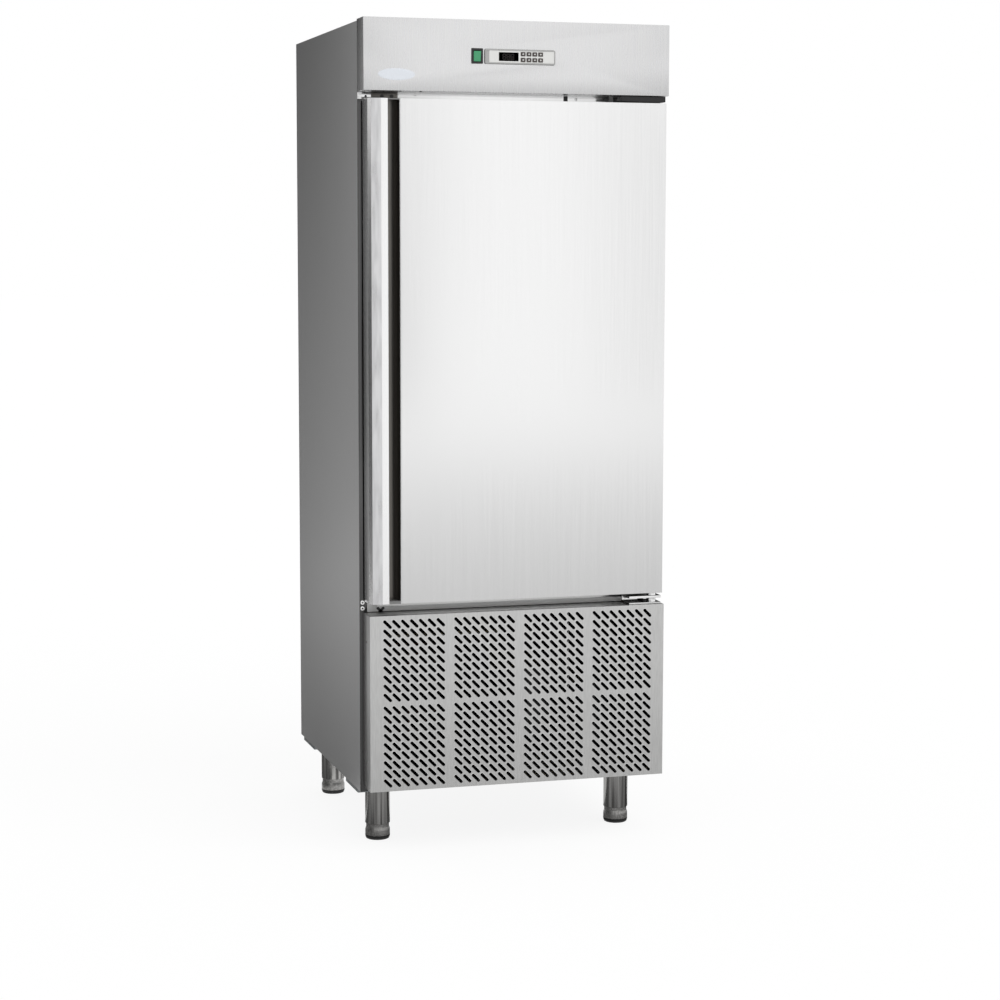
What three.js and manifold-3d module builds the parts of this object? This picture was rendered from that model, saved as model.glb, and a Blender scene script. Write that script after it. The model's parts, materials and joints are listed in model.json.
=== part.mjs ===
// Tall single-door blast chiller in stainless steel, standing on four adjustable legs.
// Millimetres, +Z up. The origin is on the floor under the middle of the cabinet; the door faces -Y and
// is hinged on the right (+X). Each piece is a closed solid in its own named mesh.
import * as THREE from 'three';
import { mergeVertices } from 'three/addons/utils/BufferGeometryUtils.js';
import Module from 'manifold-3d';

const wasm = await Module();
wasm.setup();

// ---------- driving dimensions ----------
// Cabinet
const WIDTH = 800; // over the side panels
const DEPTH = 815; // face of the door to the back panel
const LEG_HEIGHT = 150; // floor to the bottom edge of the side panels
const FRONT_DEPTH = 71; // how far fascia, door and grille stand in front of the carcass
const SHEET = 1; // folded stainless sheet
const TRAY_SHEET = 2; // base tray
const INSULATION = 60; // foam thickness
const FIT = 0.3; // assembly gap between neighbouring pieces
const SIDE_RETURN = 20; // front flange of a side panel
const TOP_RETURN = 30; // front flange of the top panel
const FRAME_DEPTH = 30; // door frame, front to back
const COVE_RADIUS = 12; // rounded rear corners of the liner
const DRAIN_RADIUS = 16; // drain hole in the chamber floor

// Fascia (control box)
const FASCIA_HEIGHT = 178;
const FASCIA_RISE = 4; // fascia top above the side panels

// Door
const DOOR_TOP_GAP = 18.5; // fascia to door
const DOOR_HEIGHT = 1262.5;
const DOOR_BODY = 62; // door skin, front to back
const DOOR_INSET_GRIP = 12; // door edge inside the cabinet side, grip side
const DOOR_INSET_HINGE = 6; // the same, hinge side
const DOOR_OVERLAP = 32; // door beyond the opening, top and bottom
const GASKET_WIDTH = 24;
const GASKET_INSET = 18; // gasket from the door edge, grip side
const GASKET_END_INSET = 7; // gasket from the top and bottom of the door
const GASKET_HINGE_GAP = 4; // gasket edge to the hinge axis
const LINER_DISH = 10; // pressed panel on the inside of the door
const LINER_DISH_MARGIN = 20; // dish edge inside the gasket

// Grip channel along the door's left edge, in plan
const GRIP_WIDTH = 81; // door edge to the far edge of the scoop
const GRIP_SHEET = 1.2;
const GRIP_BEVEL_DEPTH = 11;
const GRIP_BEVEL_WIDTH = 7;
const GRIP_SLOPE = 2.5; // how far the outer strip falls back towards the bevel
const GRIP_CREASE = 32; // door edge to the crease in the strip
const GRIP_LIP = 50; // door edge to the free edge of the rolled lip
const LIP_THICKNESS = 6;
const SCOOP_START = 41; // scoop runs in under the lip to here
const SCOOP_DEPTH = 32;
const SCOOP_EDGE = 2; // rounded far edge of the scoop
const GRIP_RETURN = 12; // flange where grip channel and door skin meet
const GRIP_CAP = 7; // end caps that close the scoop

// Hinges
const HINGE_INSET = 22; // pivot axis from the door's hinge edge
const HINGE_SETBACK = 25; // pivot axis behind the door face
const PIN_RADIUS = 6;
const PIN_CLEARANCE = 0.5;
const PIN_ENGAGEMENT = 20; // pin length inside the door
const TOP_ARM_LENGTH = 120;
const BOTTOM_ARM_LENGTH = 88;
const TOP_ARM_THICKNESS = 14;
const BOTTOM_ARM_THICKNESS = 6;
const TOP_ARM_GAP = 3; // top hinge arm to door
const BOTTOM_ARM_GAP = 8; // bottom hinge arm to door
const FOOT_PLATE_THICKNESS = 4; // the bottom hinge's lower plate
const FOOT_PLATE_GAP = 0.6; // lower plate to grille panel
const ARM_FRONT_SETBACK = 8; // front of the hinge arm behind the door face
const HINGE_PLATE = 4; // thickness of the plate screwed to the frame
const BOTTOM_PLATE_GAP = 1; // back plate stays below the turning door
const CAM_RADIUS = 12; // boss under the lower pin

// Grille panel
const GRILLE_GAP = 30; // door to grille panel
const GRILLE_HEIGHT = 452;
const GRILLE_RISE = 13; // grille panel above the bottom edge of the side panels
const GRILLE_INSET_LEFT = 10.5;
const GRILLE_INSET_RIGHT = 1;
const SLOT_LENGTH = 27.2;
const SLOT_WIDTH = 8.6;
const SLOT_ANGLE = THREE.MathUtils.degToRad(-45);
const SLOT_SIDE_MARGIN = 45.5; // panel edge to the first column of slots
const SLOT_END_MARGIN = 21.5; // panel edge to the first row of slots
const SLOT_ROW_BREAK = 33; // row pitch across the plain band
const BLOCK_COLUMNS = 7; // slots across one block; one pitch stays plain between blocks
const BLOCK_ROWS = 9;
const BLOCKS_ACROSS = 4;
const BLOCKS_DOWN = 2;

// Legs
const LEG_INSET = 70; // leg axis inside the cabinet side
const LEG_SETBACK = 103; // leg axis from the carcass front and back
const LEG_RADIUS = 32.5;
const LEG_WALL = 1.5;
const LEG_LOWER_END = 42; // tube end above the floor
const LEG_FLANGE = 92;
const LEG_FLANGE_THICKNESS = 4;
const CHANNEL_WIDTH = 140; // leg channels under the base tray
const CHANNEL_DEPTH = 10;
const FOOT_CLEARANCE = 0.5;
const FOOT_STEM_TOP = 75;
const FOOT_WAIST_RADIUS = 30;
const FOOT_WAIST_BOTTOM = 33;
const FOOT_BASE_RADIUS = 32.3;
const FOOT_BASE_TOP = 26;
const FOOT_BASE_BOTTOM = 13;
const FOOT_SOLE_EDGE = 2;
const FOOT_SOLE_DRAFT = 0.8;

// Rear cover
const REAR_RECESS = 18;
const LOUVRE_COUNT = 12;
const LOUVRE_INSET = 150; // louvre ends inside the cabinet side
const LOUVRE_HEIGHT = 8;
const LOUVRE_PITCH = 24;
const GLAND_RADIUS = 11;
const GLAND_INSET = 70; // gland inside the cabinet side
const GLAND_RISE = 60; // gland above the base tray
const GLAND_LENGTH = 14; // stands out of the cover, inside the recess
const GLAND_TAIL = 12;

// Switch
const SWITCH_X = -109.5;
const SWITCH_RISE = 89; // centre above the fascia's bottom edge
const SWITCH_WIDTH = 30;
const SWITCH_HEIGHT = 38;
const SWITCH_PROUD = 2;
const SWITCH_BODY_DEPTH = 26;
const SWITCH_BODY_MARGIN = 2; // bezel beyond the body
const ROCKER_WIDTH = 19;
const ROCKER_HEIGHT = 25.5;
const ROCKER_PIVOT_DEPTH = 4;
const ROCKER_CLEARANCE = 1.2;
const ROCKER_TILT = THREE.MathUtils.degToRad(8);

// Controller
const CONTROLLER_X = 1.5;
const CONTROLLER_RISE = 88.5;
const CONTROLLER_WIDTH = 184;
const CONTROLLER_HEIGHT = 36;
const CONTROLLER_PROUD = 6;
const CONTROLLER_BODY_DEPTH = 55;
const CONTROLLER_BODY_MARGIN = 6;
const CONTROLLER_CORNER = 4;
const DISPLAY_X = -30.5; // display centre from the controller centre
const DISPLAY_WIDTH = 52;
const DISPLAY_HEIGHT = 22;
const DISPLAY_THICKNESS = 1.5;
const KEY_X = [7, 22.3, 37.6, 52.9]; // key centres from the controller centre
const KEY_Z = [7.2, -7.2];
const KEY_WIDTH = 12.4;
const KEY_HEIGHT = 10;
const KEY_THICKNESS = 3;
const KEY_PROUD = 0.8;
const KEY_POCKET = 3.4;

// Chamber fittings
const RACK_LEVELS = 10;
const RACK_FIRST = 70; // first runner above the chamber floor
const RACK_HEADROOM = 138.5; // last runner to the chamber ceiling
const RUNNER_LENGTH = 460;
const RUNNER_LEDGE = 20;
const RUNNER_WEB = 18; // folded down from the ledge
const RUNNER_SHEET = 2;
const RUNNER_SETBACK = 46; // runner front end behind the carcass front
const UPRIGHT_STANDOFF = 34; // liner wall to the runners
const UPRIGHT_WIDTH = 20;
const UPRIGHT_INSET = 40; // upright from each runner end
const UPRIGHT_MARGIN = 14; // upright ends from floor and ceiling
const EVAPORATOR_DEPTH = 150; // cover face to the liner back
const EVAPORATOR_SIDE_GAP = 38; // cover to the liner wall
const EVAPORATOR_HEIGHT = 1040;
const COVER_SHEET = 1.5;
const COIL_THICKNESS = 65;
const COIL_SETBACK = 12; // coil to the liner back
const COIL_MARGIN = 40; // coil ends inside the cover's top and bottom
const FAN_OPENING_RADIUS = 103;
const EVAPORATOR_FAN_RADIUS = 97;
const EVAPORATOR_FAN_SPACING = 480;
const EVAPORATOR_MOTOR_RADIUS = 38;
const EVAPORATOR_MOTOR_LENGTH = 26;

// Machine compartment
const CONDENSER_WIDTH = 380;
const CONDENSER_HEIGHT = 380;
const CONDENSER_THICKNESS = 75;
const CONDENSER_INSET = 30; // condenser's end inside the cabinet side
const CONDENSER_SETBACK = 25; // behind the carcass front
const CONDENSER_PLATE = 6; // tube plates beyond the fin block
const SHROUD_DEPTH = 40;
const SHROUD_SHEET = 1.5;
const SHROUD_OPENING_RADIUS = 130;
const CONDENSER_FAN_RADIUS = 124;
const CONDENSER_MOTOR_RADIUS = 42;
const CONDENSER_MOTOR_LENGTH = 60;
const FAN_HUB_RADIUS = 34;
const FAN_HUB_LENGTH = 24;
const FAN_BLADES = 5;
const FAN_BLADE_THICKNESS = 2;
const FAN_BLADE_PITCH = THREE.MathUtils.degToRad(24);
const FAN_SHEET_GAP = 6; // blades behind the sheet with the opening
const MOTOR_SHAFT_RADIUS = 6;
const MOTOR_SHAFT_LENGTH = 5;
const MOTOR_ARM_WIDTH = 8;
const MOTOR_ARM_THICKNESS = 4;
const MOTOR_ARM_REACH = 18; // arms beyond the fan opening
const MOTOR_ARMS = 4;
const COMPRESSOR_INSET = 210; // compressor axis inside the cabinet side
const COMPRESSOR_Y = 130;
const COMPRESSOR_RADIUS = 92;
const COMPRESSOR_HEIGHT = 235;
const COMPRESSOR_FOOT_SPAN = 150;
const COMPRESSOR_FOOT_RADIUS = 14;
const COMPRESSOR_FOOT_HEIGHT = 14;
const COMPRESSOR_PLATE = 5;
const COMPRESSOR_SEAM_DROP = 46; // weld seam's top edge below the shoulder
const COMPRESSOR_SEAM_HEIGHT = 14;
const COMPRESSOR_SEAM_PROUD = 4;
const TERMINAL_BOX_WIDTH = 68;
const TERMINAL_BOX_HEIGHT = 60;
const TERMINAL_BOX_RISE = 70; // above the mounting plate
const TERMINAL_BOX_REACH = 26; // stands out of the shell
const TERMINAL_BOX_SEAT = 20; // runs into the shell
const RECEIVER_INSET = 100;
const RECEIVER_Y = -90;
const RECEIVER_RADIUS = 52;
const RECEIVER_HEIGHT = 230;
const RECEIVER_FOOT = 6;
const RECEIVER_END = 22; // domed ends
const RECEIVER_VALVE_RADIUS = 8;
const RECEIVER_VALVE_HEIGHT = 24;
const ELECTRICAL_INSET = 220; // box centre inside the cabinet side
const ELECTRICAL_WIDTH = 260;
const ELECTRICAL_DEPTH = 220;
const ELECTRICAL_HEIGHT = 110;
const ELECTRICAL_SETBACK = 60;
const ELECTRICAL_LIP = 6; // lid beyond the box
const ELECTRICAL_LID = 2;

// ---------- places worked out from the sizes ----------
const SIDE = WIDTH / 2;
const FRONT = (CONTROLLER_PROUD + KEY_PROUD - DEPTH) / 2; // door face; the keys stand in front of it
const BACK = FRONT + DEPTH;
const CARCASS_FRONT = FRONT + FRONT_DEPTH;
// The front is stacked from the floor up, and the carcass follows it.
const BASE = LEG_HEIGHT;
const GRILLE_BOTTOM = BASE + GRILLE_RISE;
const GRILLE_TOP = GRILLE_BOTTOM + GRILLE_HEIGHT;
const DOOR_BOTTOM = GRILLE_TOP + GRILLE_GAP;
const DOOR_TOP = DOOR_BOTTOM + DOOR_HEIGHT;
const FASCIA_BOTTOM = DOOR_TOP + DOOR_TOP_GAP;
const FASCIA_TOP = FASCIA_BOTTOM + FASCIA_HEIGHT;
const TOP = FASCIA_TOP - FASCIA_RISE;
const DOOR_LEFT = -SIDE + DOOR_INSET_GRIP;
const DOOR_WIDTH = SIDE - DOOR_INSET_HINGE - DOOR_LEFT;
const GRILLE_LEFT = -SIDE + GRILLE_INSET_LEFT;
const GRILLE_RIGHT = SIDE - GRILLE_INSET_RIGHT;
const OPENING_BOTTOM = DOOR_BOTTOM + DOOR_OVERLAP;
const OPENING_TOP = DOOR_TOP - DOOR_OVERLAP;
const OPENING_SIDE = SIDE - SHEET - INSULATION - SHEET;
const BOX_BOTTOM = OPENING_BOTTOM - INSULATION - SHEET; // insulated box, outside
const BOX_TOP = OPENING_TOP + INSULATION + SHEET;
const SKIN_INNER = SIDE - SHEET; // inner face of a side panel
const FRAME_BACK = CARCASS_FRONT + FRAME_DEPTH;
const LINER_FRONT = FRAME_BACK + FIT;
const LINER_BACK = BACK - SHEET - FIT - INSULATION - FIT - SHEET; // inner face of the rear liner
const TRAY_TOP = BASE + TRAY_SHEET;
const HINGE_X = DOOR_LEFT + DOOR_WIDTH - HINGE_INSET;
const HINGE_Y = FRONT + HINGE_SETBACK;

// ---------- materials ----------
const finish = (color, roughness, metalness) => (
  new THREE.MeshStandardMaterial({ color, roughness, metalness })
);
const STAINLESS = finish(0xc9cacb, 0.35, 1);
const STAINLESS_DARK = finish(0x9a9a98, 0.4, 1);
const GALVANISED = finish(0xa9adaf, 0.5, 0.9);
const FOAM = finish(0xd9c27a, 0.9, 0);
const BLACK_PLASTIC = finish(0x1b1b1c, 0.5, 0);
const BLACK_METAL = finish(0x151515, 0.45, 0.2);
const GREY_RUBBER = finish(0x5b5c5e, 0.8, 0);
const FRAME_PLASTIC = finish(0xd6d7d6, 0.5, 0);
const GREEN_PLASTIC = finish(0x4f9a6c, 0.35, 0);
const SILVER_PLASTIC = finish(0xc4c6c6, 0.35, 0.3);
const SMOKED_PLASTIC = finish(0x2a2324, 0.15, 0);
const FIN_ALUMINIUM = finish(0xb7bcbf, 0.45, 0.9);
const BLACK_PAINT = finish(0x202224, 0.4, 0.1);

// ---------- solids ----------
function solidOf(geometry) {
  const bare = geometry.clone();
  bare.deleteAttribute('normal');
  bare.deleteAttribute('uv');
  const merged = mergeVertices(bare, 1e-4);
  return new wasm.Manifold(new wasm.Mesh({
    numProp: 3,
    vertProperties: merged.attributes.position.array,
    triVerts: Uint32Array.from(merged.index.array),
  }));
}

function geometryOf(solid) {
  const { vertProperties, triVerts } = solid.getMesh();
  const geometry = new THREE.BufferGeometry();
  geometry.setAttribute('position', new THREE.BufferAttribute(vertProperties, 3));
  geometry.setIndex(new THREE.BufferAttribute(triVerts, 1));
  geometry.computeVertexNormals();
  return geometry;
}

function join(first, ...others) {
  return geometryOf(others.reduce((sum, g) => sum.add(solidOf(g)), solidOf(first)));
}

function cut(body, ...tools) {
  return geometryOf(tools.reduce((rest, g) => rest.subtract(solidOf(g)), solidOf(body)));
}

function block(x0, x1, y0, y1, z0, z1) {
  const geometry = new THREE.BoxGeometry(x1 - x0, y1 - y0, z1 - z0);
  return geometry.translate((x0 + x1) / 2, (y0 + y1) / 2, (z0 + z1) / 2);
}

const shapeOf = (points) => new THREE.Shape(points.map(([x, y]) => new THREE.Vector2(x, y)));

// A plan outline raised from z0 to z1.
function raise(shape, z0, z1, curveSegments = 4) {
  const geometry = new THREE.ExtrudeGeometry(shape, { depth: z1 - z0, bevelEnabled: false, curveSegments });
  return geometry.translate(0, 0, z0);
}

// A front-view outline (x, z) carried back from y0 to y1.
function carryBack(shape, y0, y1, curveSegments = 4) {
  const geometry = new THREE.ExtrudeGeometry(shape, { depth: y1 - y0, bevelEnabled: false, curveSegments });
  return geometry.rotateX(Math.PI / 2).translate(0, y1, 0);
}

// A side-view outline (y, z) carried across from x0 to x1.
function carryAcross(shape, x0, x1) {
  const geometry = new THREE.ExtrudeGeometry(shape, { depth: x1 - x0, bevelEnabled: false });
  return geometry.rotateX(Math.PI / 2).rotateZ(Math.PI / 2).translate(x0, 0, 0);
}

function roundedRectangle(width, height, radius) {
  const x = width / 2;
  const y = height / 2;
  const shape = new THREE.Shape();
  shape.moveTo(x - radius, -y).absarc(x - radius, -y + radius, radius, -Math.PI / 2, 0);
  shape.lineTo(x, y - radius).absarc(x - radius, y - radius, radius, 0, Math.PI / 2);
  shape.lineTo(-x + radius, y).absarc(-x + radius, y - radius, radius, Math.PI / 2, Math.PI);
  shape.lineTo(-x, -y + radius).absarc(-x + radius, -y + radius, radius, Math.PI, Math.PI * 1.5);
  return shape;
}

// A turned piece about the z axis, from [radius, height] points that start and end on the axis.
function turned(profile, segments = 24) {
  const points = profile.map(([r, z]) => new THREE.Vector2(r, z));
  return new THREE.LatheGeometry(points, segments).rotateX(Math.PI / 2);
}

function upright(radius, z0, z1, segments = 24) {
  return turned([[0, z0], [radius, z0], [radius, z1], [0, z1]], segments);
}

function forward(radius, y0, y1, segments = 24) {
  return upright(radius, -y1, -y0, segments).rotateX(Math.PI / 2);
}

// The strip of sheet on the left-hand side of an open run of points.
function foldedSheet(points, thickness) {
  const corner = (index) => {
    const here = new THREE.Vector2(...points[index]);
    const before = new THREE.Vector2(...points[Math.max(index - 1, 0)]);
    const after = new THREE.Vector2(...points[Math.min(index + 1, points.length - 1)]);
    const into = (index > 0 ? here.clone().sub(before) : after.clone().sub(here)).normalize();
    const out = (index < points.length - 1 ? after.clone().sub(here) : into.clone()).normalize();
    const normal = new THREE.Vector2(-into.y - out.y, into.x + out.x).normalize();
    const stretch = thickness / (normal.x * -into.y + normal.y * into.x);
    return here.addScaledVector(normal, stretch).toArray();
  };
  return shapeOf([...points, ...points.map((_, index) => corner(index)).reverse()]);
}

function piece(name, geometry, material, parent, position = [0, 0, 0]) {
  const mesh = new THREE.Mesh(geometry, material);
  mesh.name = name;
  mesh.position.set(...position);
  parent.add(mesh);
  return mesh;
}

function groupAt(parent, x, y, z) {
  const group = new THREE.Group();
  group.position.set(x, y, z);
  parent.add(group);
  return group;
}

const chiller = new THREE.Group();

// ---------- outer panels ----------
function sidePanel(name, side) {
  const outline = foldedSheet([
    [SIDE_RETURN - SIDE, CARCASS_FRONT],
    [-SIDE, CARCASS_FRONT],
    [-SIDE, BACK],
  ].map(([x, y]) => [-side * x, y]), side * SHEET);
  piece(name, raise(outline, BASE, TOP), STAINLESS, chiller);
}

function outerPanels() {
  sidePanel('side_panel_left', -1);
  sidePanel('side_panel_right', 1);
  const inside = SKIN_INNER - FIT;
  piece('back_panel', block(-inside, inside, BACK - SHEET, BACK, BOX_BOTTOM, TOP), STAINLESS_DARK, chiller);
  const flangeFront = CARCASS_FRONT + SHEET + FIT;
  piece('top_panel', join(
    block(-inside, inside, flangeFront, BACK - SHEET - FIT, TOP - SHEET, TOP),
    block(-inside, inside, flangeFront, flangeFront + SHEET, TOP - TOP_RETURN, TOP),
  ), STAINLESS_DARK, chiller);
}

function baseTray() {
  const inside = SKIN_INNER - FIT;
  const channels = [CARCASS_FRONT + LEG_SETBACK, BACK - LEG_SETBACK].map((y) => block(
    -inside, inside, y - CHANNEL_WIDTH / 2, y + CHANNEL_WIDTH / 2, BASE - CHANNEL_DEPTH, TRAY_TOP,
  ));
  const floor = block(-inside, inside, CARCASS_FRONT + SHEET + FIT, BACK, BASE, TRAY_TOP);
  piece('base_tray', join(floor, ...channels), GALVANISED, chiller);
}

// ---------- insulated box ----------
// Plan of the chamber, drawn in by a margin, with rounded rear corners.
function chamberPlan(margin) {
  const x = OPENING_SIDE - margin;
  const back = LINER_BACK - margin;
  const radius = COVE_RADIUS;
  const plan = new THREE.Shape();
  plan.moveTo(-x, LINER_FRONT).lineTo(x, LINER_FRONT).lineTo(x, back - radius);
  plan.absarc(x - radius, back - radius, radius, 0, Math.PI / 2);
  plan.lineTo(-x + radius, back).absarc(-x + radius, back - radius, radius, Math.PI / 2, Math.PI);
  return plan;
}

function insulatedBox() {
  const inside = SKIN_INNER - FIT;
  const cavity = OPENING_SIDE + SHEET + FIT;
  const foam = block(-inside, inside, FRAME_BACK + FIT, BACK - SHEET - FIT, BOX_BOTTOM, BOX_TOP);
  const hollow = block(
    -cavity, cavity, CARCASS_FRONT, LINER_BACK + SHEET + FIT,
    OPENING_BOTTOM - SHEET - FIT, OPENING_TOP + SHEET + FIT,
  );
  piece('insulation_foam', cut(foam, hollow), FOAM, chiller);

  const wallBottom = OPENING_BOTTOM - SHEET;
  const wallTop = OPENING_TOP + SHEET;
  const outside = OPENING_SIDE + SHEET;
  const wrap = block(-outside, outside, LINER_FRONT, LINER_BACK + SHEET, wallBottom, wallTop);
  const chamber = raise(chamberPlan(0), wallBottom - SHEET, wallTop + SHEET);
  const mouth = block(
    -OPENING_SIDE, OPENING_SIDE, CARCASS_FRONT, LINER_FRONT + SHEET, wallBottom - SHEET, wallTop + SHEET,
  );
  piece('liner_walls', cut(wrap, chamber, mouth), STAINLESS, chiller);
  piece('liner_ceiling', raise(chamberPlan(FIT), OPENING_TOP, wallTop), STAINLESS, chiller);
  const drain = upright(DRAIN_RADIUS, wallBottom - SHEET, OPENING_BOTTOM + SHEET);
  piece('liner_floor', cut(raise(chamberPlan(FIT), wallBottom, OPENING_BOTTOM), drain), STAINLESS, chiller);

  const stileOuter = SIDE - SIDE_RETURN - FIT;
  const stile = (name, x0, x1) => piece(
    name, block(x0, x1, CARCASS_FRONT, FRAME_BACK, BOX_BOTTOM, BOX_TOP), FRAME_PLASTIC, chiller,
  );
  stile('frame_stile_left', -stileOuter, -OPENING_SIDE);
  stile('frame_stile_right', OPENING_SIDE, stileOuter);
  const railSide = OPENING_SIDE - FIT;
  const rail = (name, z0, z1) => piece(
    name, block(-railSide, railSide, CARCASS_FRONT, FRAME_BACK, z0, z1), FRAME_PLASTIC, chiller,
  );
  rail('frame_rail_bottom', BOX_BOTTOM, OPENING_BOTTOM);
  rail('frame_rail_top', OPENING_TOP, BOX_TOP);
}

// ---------- fascia with its switch and controller ----------
const PANEL_BACK = SHEET + FIT; // just behind the fascia sheet, from its face

function controlFascia() {
  const fascia = groupAt(chiller, 0, FRONT, FASCIA_BOTTOM);
  const boxDepth = FRONT_DEPTH - FIT;
  const shell = block(-SIDE, SIDE, 0, boxDepth, 0, FASCIA_HEIGHT);
  const hollow = block(-SKIN_INNER, SKIN_INNER, SHEET, boxDepth + SHEET, SHEET, FASCIA_HEIGHT - SHEET);
  const window = (x, z, width, height) => block(
    x - width / 2, x + width / 2, -SHEET, 2 * SHEET, z - height / 2, z + height / 2,
  );
  const switchWindow = window(
    SWITCH_X, SWITCH_RISE, SWITCH_WIDTH - 2 * SWITCH_BODY_MARGIN + 2 * FIT,
    SWITCH_HEIGHT - 2 * SWITCH_BODY_MARGIN + 2 * FIT,
  );
  const controllerWindow = window(
    CONTROLLER_X, CONTROLLER_RISE, CONTROLLER_WIDTH - 2 * CONTROLLER_BODY_MARGIN + 2 * FIT,
    CONTROLLER_HEIGHT - CONTROLLER_BODY_MARGIN + 2 * FIT,
  );
  piece('control_fascia', cut(shell, hollow, switchWindow, controllerWindow), STAINLESS, fascia);
  powerSwitch(groupAt(fascia, SWITCH_X, 0, SWITCH_RISE));
  controller(groupAt(fascia, CONTROLLER_X, 0, CONTROLLER_RISE));
}

function powerSwitch(parent) {
  const centred = (width, height, y0, y1) => block(-width / 2, width / 2, y0, y1, -height / 2, height / 2);
  const bezel = centred(SWITCH_WIDTH, SWITCH_HEIGHT, -SWITCH_PROUD, -FIT);
  const body = centred(
    SWITCH_WIDTH - 2 * SWITCH_BODY_MARGIN, SWITCH_HEIGHT - 2 * SWITCH_BODY_MARGIN,
    -FIT - SHEET, SWITCH_BODY_DEPTH,
  );
  const wellWidth = ROCKER_WIDTH + 2 * FIT;
  const wellHeight = ROCKER_HEIGHT + 2 * ROCKER_CLEARANCE;
  const well = centred(wellWidth, wellHeight, -2 * SWITCH_PROUD, SWITCH_BODY_DEPTH - SWITCH_PROUD);
  piece('switch_frame', cut(join(bezel, body), well), BLACK_PLASTIC, parent);

  // The rocker is drawn level about its pivot and then stands tipped to its rest position.
  const half = ROCKER_HEIGHT / 2;
  const face = -ROCKER_PIVOT_DEPTH - SWITCH_PROUD;
  const outline = shapeOf([
    [0, -half], [half / 2, 0], [0, half],
    [face - SWITCH_PROUD / 2, half], [face, 0], [face - SWITCH_PROUD / 2, -half],
  ]);
  const rocker = piece(
    'switch_rocker', carryAcross(outline, -ROCKER_WIDTH / 2, ROCKER_WIDTH / 2), GREEN_PLASTIC, parent,
    [0, ROCKER_PIVOT_DEPTH, 0],
  );
  rocker.rotation.x = ROCKER_TILT;
}

function controller(parent) {
  const bezelShape = roundedRectangle(CONTROLLER_WIDTH, CONTROLLER_HEIGHT, CONTROLLER_CORNER);
  const bezel = carryBack(bezelShape, -CONTROLLER_PROUD, -FIT);
  const bodyWidth = CONTROLLER_WIDTH - 2 * CONTROLLER_BODY_MARGIN;
  const bodyHeight = CONTROLLER_HEIGHT - CONTROLLER_BODY_MARGIN;
  const body = block(
    -bodyWidth / 2, bodyWidth / 2, -2 * FIT, CONTROLLER_BODY_DEPTH, -bodyHeight / 2, bodyHeight / 2,
  );
  const pocket = (x, z, width, height, depth) => block(
    x - width / 2 - FIT, x + width / 2 + FIT, -CONTROLLER_PROUD - SHEET, depth - CONTROLLER_PROUD,
    z - height / 2 - FIT, z + height / 2 + FIT,
  );
  const keys = KEY_Z.flatMap((z) => KEY_X.map((x) => ({ x, z })));
  const pockets = keys.map(({ x, z }) => pocket(x, z, KEY_WIDTH, KEY_HEIGHT, KEY_POCKET));
  const displayPocket = pocket(DISPLAY_X, 0, DISPLAY_WIDTH, DISPLAY_HEIGHT, DISPLAY_THICKNESS + FIT);
  piece('controller_housing', cut(join(bezel, body), displayPocket, ...pockets), SILVER_PLASTIC, parent);
  piece('display_window', block(
    -DISPLAY_WIDTH / 2, DISPLAY_WIDTH / 2, 0, DISPLAY_THICKNESS, -DISPLAY_HEIGHT / 2, DISPLAY_HEIGHT / 2,
  ), SMOKED_PLASTIC, parent, [DISPLAY_X, -CONTROLLER_PROUD, 0]);
  const keyCap = carryBack(roundedRectangle(KEY_WIDTH, KEY_HEIGHT, 1.5), 0, KEY_THICKNESS, 2);
  keys.forEach(({ x, z }, index) => piece(
    `key_${index + 1}`, keyCap, SILVER_PLASTIC, parent, [x, -CONTROLLER_PROUD - KEY_PROUD, z],
  ));
}

// ---------- grille panel ----------
// Slot centres along one direction: blocks of slots, with a plain band between blocks.
function slotCentres(perBlock, blocks, pitch, breakPitch) {
  const places = [];
  let place = 0;
  for (let blockIndex = 0; blockIndex < blocks; blockIndex += 1) {
    for (let index = 0; index < perBlock; index += 1) {
      places.push(place);
      place += index < perBlock - 1 ? pitch : breakPitch;
    }
  }
  const middle = places[places.length - 1] / 2;
  return places.map((value) => value - middle);
}

function slotHole(x, z) {
  const corners = [[-1, -1], [-1, 1], [1, 1], [1, -1]];
  const cosine = Math.cos(SLOT_ANGLE);
  const sine = Math.sin(SLOT_ANGLE);
  return new THREE.Path(corners.map(([along, across]) => {
    const a = (along * SLOT_LENGTH) / 2;
    const b = (across * SLOT_WIDTH) / 2;
    return new THREE.Vector2(x + a * cosine - b * sine, z + a * sine + b * cosine);
  }));
}

function grille() {
  const width = GRILLE_RIGHT - GRILLE_LEFT;
  const panel = groupAt(chiller, (GRILLE_LEFT + GRILLE_RIGHT) / 2, FRONT, (GRILLE_TOP + GRILLE_BOTTOM) / 2);
  const x = width / 2;
  const z = GRILLE_HEIGHT / 2;
  const face = shapeOf([[-x, -z], [x, -z], [x, z], [-x, z]]);
  const rowSpan = GRILLE_HEIGHT - 2 * SLOT_END_MARGIN - (BLOCKS_DOWN - 1) * SLOT_ROW_BREAK;
  const rowPitch = rowSpan / (BLOCKS_DOWN * (BLOCK_ROWS - 1));
  const columnPitch = (width - 2 * SLOT_SIDE_MARGIN) / (BLOCKS_ACROSS * (BLOCK_COLUMNS + 1) - 2);
  const rows = slotCentres(BLOCK_ROWS, BLOCKS_DOWN, rowPitch, SLOT_ROW_BREAK);
  const columns = slotCentres(BLOCK_COLUMNS, BLOCKS_ACROSS, columnPitch, 2 * columnPitch);
  face.holes = rows.flatMap((row) => columns.map((column) => slotHole(column, row)));
  piece('grille_panel', carryBack(face, 0, SHEET), STAINLESS, panel);
  const y0 = SHEET + FIT;
  const y1 = FRONT_DEPTH - FIT;
  piece('grille_surround', cut(
    block(-x, x, y0, y1, -z, z),
    block(SHEET - x, x - SHEET, y0 - SHEET, y1 + SHEET, SHEET - z, z - SHEET),
  ), STAINLESS, panel);
}

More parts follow.
